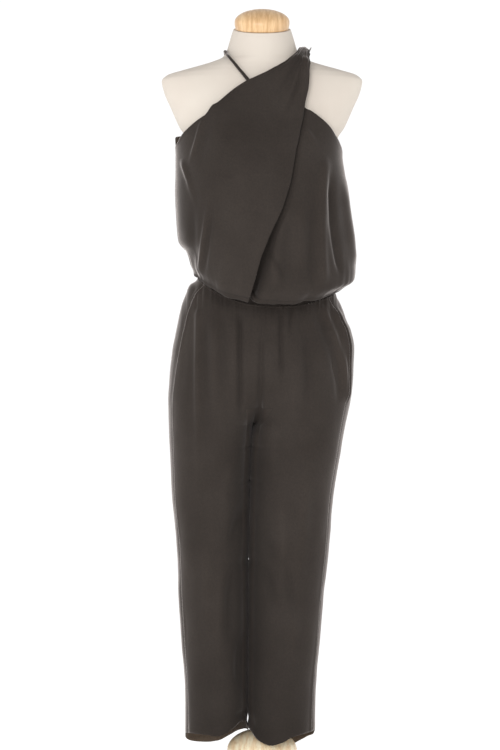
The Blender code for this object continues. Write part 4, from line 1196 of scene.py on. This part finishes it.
# %% Torso
TORSO = table(
    "height half front back oval lean",
    (0.815, 0.152, 0.088, 0.096, 2.3, 0.0),
    (0.825, 0.161, 0.097, 0.108, 2.3, 0.0),
    (0.855, 0.168, 0.106, 0.121, 2.3, 0.0),
    (0.895, 0.167, 0.108, 0.125, 2.3, 0.0),
    (0.945, 0.150, 0.102, 0.111, 2.2, 0.0),
    (0.995, 0.126, 0.093, 0.092, 2.1, 0.0),
    (1.040, 0.118, 0.089, 0.085, 2.1, 0.0),
    (1.090, 0.125, 0.096, 0.087, 2.1, 0.0),
    (1.150, 0.137, 0.111, 0.094, 2.2, 0.0),
    (1.210, 0.147, 0.126, 0.100, 2.2, 0.0),
    (1.255, 0.151, 0.132, 0.103, 2.2, 0.0),
    (1.298, 0.148, 0.125, 0.105, 2.2, 0.0),
    (1.322, 0.151, 0.117, 0.106, 2.2, 0.0),
    (1.345, 0.165, 0.109, 0.106, 2.2, 0.0),
    (1.385, 0.183, 0.096, 0.102, 2.2, 0.0),
    (1.415, 0.196, 0.087, 0.095, 2.1, 0.0),
    (1.437, 0.2005, 0.079, 0.087, 2.0, 0.0),
    (1.448, 0.191, 0.075, 0.081, 1.9, 0.0),
    (1.457, 0.163, 0.072, 0.077, 1.85, 0.0),
    (1.466, 0.130, 0.070, 0.072, 1.85, 0.02),
    (1.475, 0.100, 0.069, 0.067, 1.9, 0.05),
    (1.484, 0.079, 0.068, 0.061, 1.95, 0.10),
    (1.496, 0.0705, 0.067, 0.054, 2.0, 0.18),
    (1.514, 0.0650, 0.0655, 0.0490, 2.0, 0.26),
    (1.530, 0.0600, 0.0635, 0.0460, 2.0, 0.31),
    (1.538, 0.0572, 0.0620, 0.0445, 2.0, 0.325),
)
NECK_LEAN, FORM_TOP = 0.010, 1.538


def torso_ring(height, degrees, shrink):
    """Quarter ovals from half width, front and back, drawn towards the neck's axis by shrink;
    the height grows with how far a point lies back, times the ring's lean."""
    a = np.radians(degrees)
    swell = 2 / read(TORSO, "oval", height)
    deep = np.where(np.sin(a) > 0, read(TORSO, "front", height), read(TORSO, "back", height))
    x = shrink * read(TORSO, "half", height) * power(np.cos(a), swell)
    y = -NECK_LEAN + shrink * (NECK_LEAN - deep * power(np.sin(a), swell))
    return np.stack((x, y, height + read(TORSO, "lean", height) * (y + NECK_LEAN)), axis=-1)


def torso_grid(columns):
    """Rows from the neck's centre over its rim, down the body and in to the middle below."""
    keys = TORSO["height"][::-1]
    body = np.interp(np.linspace(0, 1, 236), np.linspace(0, 1, len(keys)), keys)
    top = np.array((0.0, 0.3, 0.6, 0.85, 0.95, 0.985, 0.996))
    heights = np.concatenate((np.full(7, body[0]), body, np.full(6, body[-1])))
    shrink = np.concatenate((top, np.ones(len(body)), top[::-1][1:]))
    rim = np.concatenate((0 * top, -0.0004 * (body > FORM_TOP - 0.0008), 0 * top[1:]))
    degrees = np.linspace(0, 360, columns, endpoint=False)[None, :]
    grid = torso_ring(heights[:, None], degrees, shrink[:, None])
    grid[..., 2] += rim[:, None]
    side_seam = hump(0, 0.0016, grid[..., 1]) * (np.abs(grid[..., 0]) > 0.05) * (grid[..., 2] < 1.44)
    return grid * (1 - 0.004 * side_seam[..., None] * np.array((1, 1, 0)))


closed_piece("torso", torso_grid(168), jersey, "form_torso")

# %% [markdown]
# ## Turned, varnished wood
# The cap and the base are turned from light wood. Its year rings are shells round the tree's
# axis, so a cut through them shows long streaks. The pattern here is a warped wave under
# noise that is stretched along the grain, with fine dark pores, and a satin varnish over it.

# %% Wood
def make_wood(name, light, dark, stretch, turn):
    """Streaks from stretched noise and a warped wave, pores from thin noise, a satin varnish."""
    material, tree, shader = new_material(
        name, Roughness=0.36, Specular_IOR_Level=0.45, Coat_Weight=0.20, Coat_Roughness=0.20)
    rings = node(tree, "ShaderNodeTexWave", bands_direction="X", Scale=22.0, Distortion=11.0, Detail=4.0,
                 Detail_Scale=1.6, Detail_Roughness=0.7)
    streaks = node(tree, "ShaderNodeTexNoise", Scale=130.0, Detail=5.0, Roughness=0.6, Distortion=0.6)
    pores = node(tree, "ShaderNodeTexNoise", Scale=480.0, Detail=3.0)
    clouds = node(tree, "ShaderNodeTexNoise", Scale=30.0, Detail=4.0)
    laid_on(tree, (rings, streaks, pores, clouds), stretch, turn)
    halfway = tuple(0.5 * (l + d) for l, d in zip(light, dark))
    tone = two_tones(tree, rings, light, halfway, 0.1, 1.0)
    streak = two_tones(tree, streaks, (0.80, 0.70, 0.60), grey(1.0), 0.36, 0.60)
    patch = two_tones(tree, clouds, (0.88, 0.83, 0.78), grey(1.0), 0.35, 0.65)
    pore = two_tones(tree, pores, (0.78, 0.72, 0.66), grey(1.0), 0.32, 0.46)
    clouded = multiplied(tree, multiplied(tree, tone, streak, 0.85), patch, 0.8)
    tree.links.new(multiplied(tree, clouded, pore, 0.45), shader.inputs["Base Color"])
    tree.links.new(scaled(tree, pores, 0.28, 0.46), shader.inputs["Roughness"])
    bumped(tree, shader, (pores.outputs["Fac"], 0.10, 0.0003))
    return material


cap_wood = make_wood("cap_wood", (0.85, 0.60, 0.34), (0.66, 0.40, 0.19), (1.0, 0.25, 0.13), (0.16, 0.12, 0.0))
base_wood = make_wood("base_wood", (1.0, 0.90, 0.68), (0.92, 0.68, 0.40), (1.0, 0.22, 0.5), (0.1, 0.0, 0.4))

# %% [markdown]
# ## Turning on a lathe
# A lathe makes a surface from one profile: radius and height, carried round the axis. Points
# on the axis become poles and are merged. The cap's dome is a squashed quarter circle, and
# the whole cap then leans with the neck.

# %% Neck cap and base
def lathe_grid(profile, columns, fine=6):
    """Carry a profile of radius and height round the axis, from the upper pole down."""
    profile = np.array(profile, dtype=float)
    steps = np.linspace(0, len(profile) - 1, (len(profile) - 1) * fine + 1)
    radius = np.interp(steps, np.arange(len(profile)), profile[:, 0])[:, None]
    height = np.interp(steps, np.arange(len(profile)), profile[:, 1])[:, None]
    a = np.radians(np.linspace(0, 360, columns, endpoint=False))[None, :]
    return np.stack((radius * np.cos(a), -radius * np.sin(a), height + 0 * a), axis=-1)


CAP_RADIUS, CAP_TALL, CAP_BELLY, NECK_TILT = 0.0548, 0.0402, 0.015, np.radians(18.0)
dome = np.radians(np.linspace(0, 90, 46))
belly = np.radians(np.linspace(4, 90, 16))
cap_profile = np.concatenate((
    np.stack((CAP_RADIUS * np.sin(dome), CAP_BELLY + (CAP_TALL - CAP_BELLY) * np.cos(dome)), axis=-1),
    np.stack((CAP_RADIUS * (0.925 + 0.075 * np.cos(belly)), CAP_BELLY * (1 - np.sin(belly))), axis=-1),
    ((CAP_RADIUS * 0.90, 0.0), (0.0, 0.0))))
cap_grid = lathe_grid(cap_profile, 144, fine=1)
tilt_sine, tilt_cosine = np.sin(NECK_TILT), np.cos(NECK_TILT)
lean = np.array(((1, 0, 0), (0, tilt_cosine, -tilt_sine), (0, tilt_sine, tilt_cosine)))
cap_grid = cap_grid @ lean.T + np.array((0, -NECK_LEAN, FORM_TOP + 0.0006))
closed_piece("neck_cap", cap_grid, cap_wood, "form_neck_cap")

BOSS_RADIUS, BOSS_FALL, FOOT_TALL = 0.070, 0.042, 0.030
SOCKET_RADIUS, SOCKET_DEPTH = 0.0116, 0.080
BOSS_CROWN = 0.142       # where the dome would meet the pole's axis
dome = np.radians(np.linspace(np.degrees(np.arcsin(SOCKET_RADIUS / BOSS_RADIUS)), 105, 40))
base_profile = [(0.0, BOSS_CROWN - SOCKET_DEPTH), (SOCKET_RADIUS, BOSS_CROWN - SOCKET_DEPTH)]
base_profile += [(BOSS_RADIUS * np.sin(a), BOSS_CROWN - BOSS_FALL * (1 - np.cos(a))) for a in dome]
waist_radius, waist_level = base_profile[-1]
cove_wide, cove_tall = FOOT_RADIUS - 0.030 - waist_radius, waist_level - FOOT_TALL
base_profile += [(waist_radius + cove_wide * (1 - np.cos(a)), FOOT_TALL + cove_tall * (1 - np.sin(a)))
                 for a in np.radians(np.linspace(8, 90, 24))]
FOOT_EDGE = ((0.012, FOOT_TALL - 0.001), (0.005, FOOT_TALL - 0.004), (0.001, FOOT_TALL - 0.009),
             (0.0, FOOT_TALL - 0.014), (0.0, 0.004), (0.001, 0.001), (0.003, 0.0))
base_profile += [(FOOT_RADIUS - inset, height) for inset, height in FOOT_EDGE] + [(0.0, 0.0)]
closed_piece("turned_base", lathe_grid(base_profile, 144, fine=2), base_wood, "form_base")

# %% [markdown]
# ## Brushed steel for the pole
# The pole keeps its solid, since a plain tube needs no finer shape. Brushing leaves fine
# rings of scratches, which noise squeezed along the height imitates in roughness and bump.

# %% Pole
steel, tree, shader = new_material("brushed_steel", Metallic=1.0, Roughness=0.32)
scratches = node(tree, "ShaderNodeTexNoise", Scale=1.0, Detail=4.0)
laid_on(tree, (scratches,), stretch=(30.0, 30.0, 1500.0))
tone = two_tones(tree, scratches, (0.48, 0.48, 0.49), grey(0.62), 0.3, 0.7)
tree.links.new(tone, shader.inputs["Base Color"])
tree.links.new(scaled(tree, scratches, 0.24, 0.42), shader.inputs["Roughness"])
bumped(tree, shader, (scratches.outputs["Fac"], 0.08, 0.0002))
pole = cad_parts["form_pole"]
for slot in pole.material_slots:
    slot.material = steel
print("pole finish on", pole.name)

# %% [markdown]
# ## Stage, light and camera
# The garment stands before a white room. A pale floor and a white sky that dims overhead
# light it evenly, and the crepe's sheen turns that light into greyish rims, which two faint
# lamps at the sides and painted light towards the cloth's sides lift a little. One large lamp by the camera
# opens up the folds in front.
# The long lens keeps perspective small.

# %% Stage, light and camera
bpy.ops.mesh.primitive_plane_add(size=40, location=(0, 0, 0))
floor = bpy.context.object
floor.name = "floor"
white, tree, shader = new_material("white_floor", Roughness=0.9, Base_Color=(0.9, 0.9, 0.9, 1),
                                   Emission_Color=(1, 1, 1, 1), Emission_Strength=0.55)
floor.data.materials.append(white)

world = bpy.data.worlds.new("white_room")
bpy.context.scene.world = world
world.use_nodes = True
sky = world.node_tree
direction = node(sky, "ShaderNodeTexCoord").outputs["Generated"]
split = node(sky, "ShaderNodeSeparateXYZ")
dim = node(sky, "ShaderNodeMapRange", From_Min=0.25, From_Max=0.90, To_Min=1.05, To_Max=0.30)
sky.links.new(direction, split.inputs["Vector"])
sky.links.new(split.outputs["Z"], dim.inputs["Value"])
sky.links.new(dim.outputs["Result"], sky.nodes["Background"].inputs["Strength"])
sky.nodes["Background"].inputs["Color"].default_value = (1, 1, 1, 1)


def soft_lamp(name, place, aim, wide, tall, watts):
    """A rectangle of light whose -Z axis points at the aim."""
    lamp = bpy.data.lights.new(name, "AREA")
    lamp.shape, lamp.size, lamp.size_y, lamp.energy = "RECTANGLE", wide, tall, watts
    holder = bpy.data.objects.new(name, lamp)
    bpy.context.collection.objects.link(holder)
    holder.location = place
    holder.rotation_euler = (Vector(aim) - Vector(place)).to_track_quat("-Z", "Y").to_euler()


soft_lamp("left_lamp", (-2.3, 0.6, 0.7), (0, 0, 0.6), 1.0, 1.4, 3)
soft_lamp("right_lamp", (2.3, 0.6, 0.7), (0, 0, 0.6), 1.0, 1.4, 4)
soft_lamp("front_lamp", (-0.9, -3.4, 1.5), (0, 0, 0.9), 1.4, 1.4, 44)

camera = bpy.data.cameras.new("camera")
camera.lens, camera.sensor_width = 84.0, 36.0
viewer = bpy.data.objects.new("camera", camera)
bpy.context.collection.objects.link(viewer)
viewer.location = (-0.024, -3.5, 0.85)
viewer.rotation_euler = (np.radians(90.0), 0, 0)
bpy.context.scene.camera = viewer
bpy.context.scene.view_settings.view_transform = "Standard"
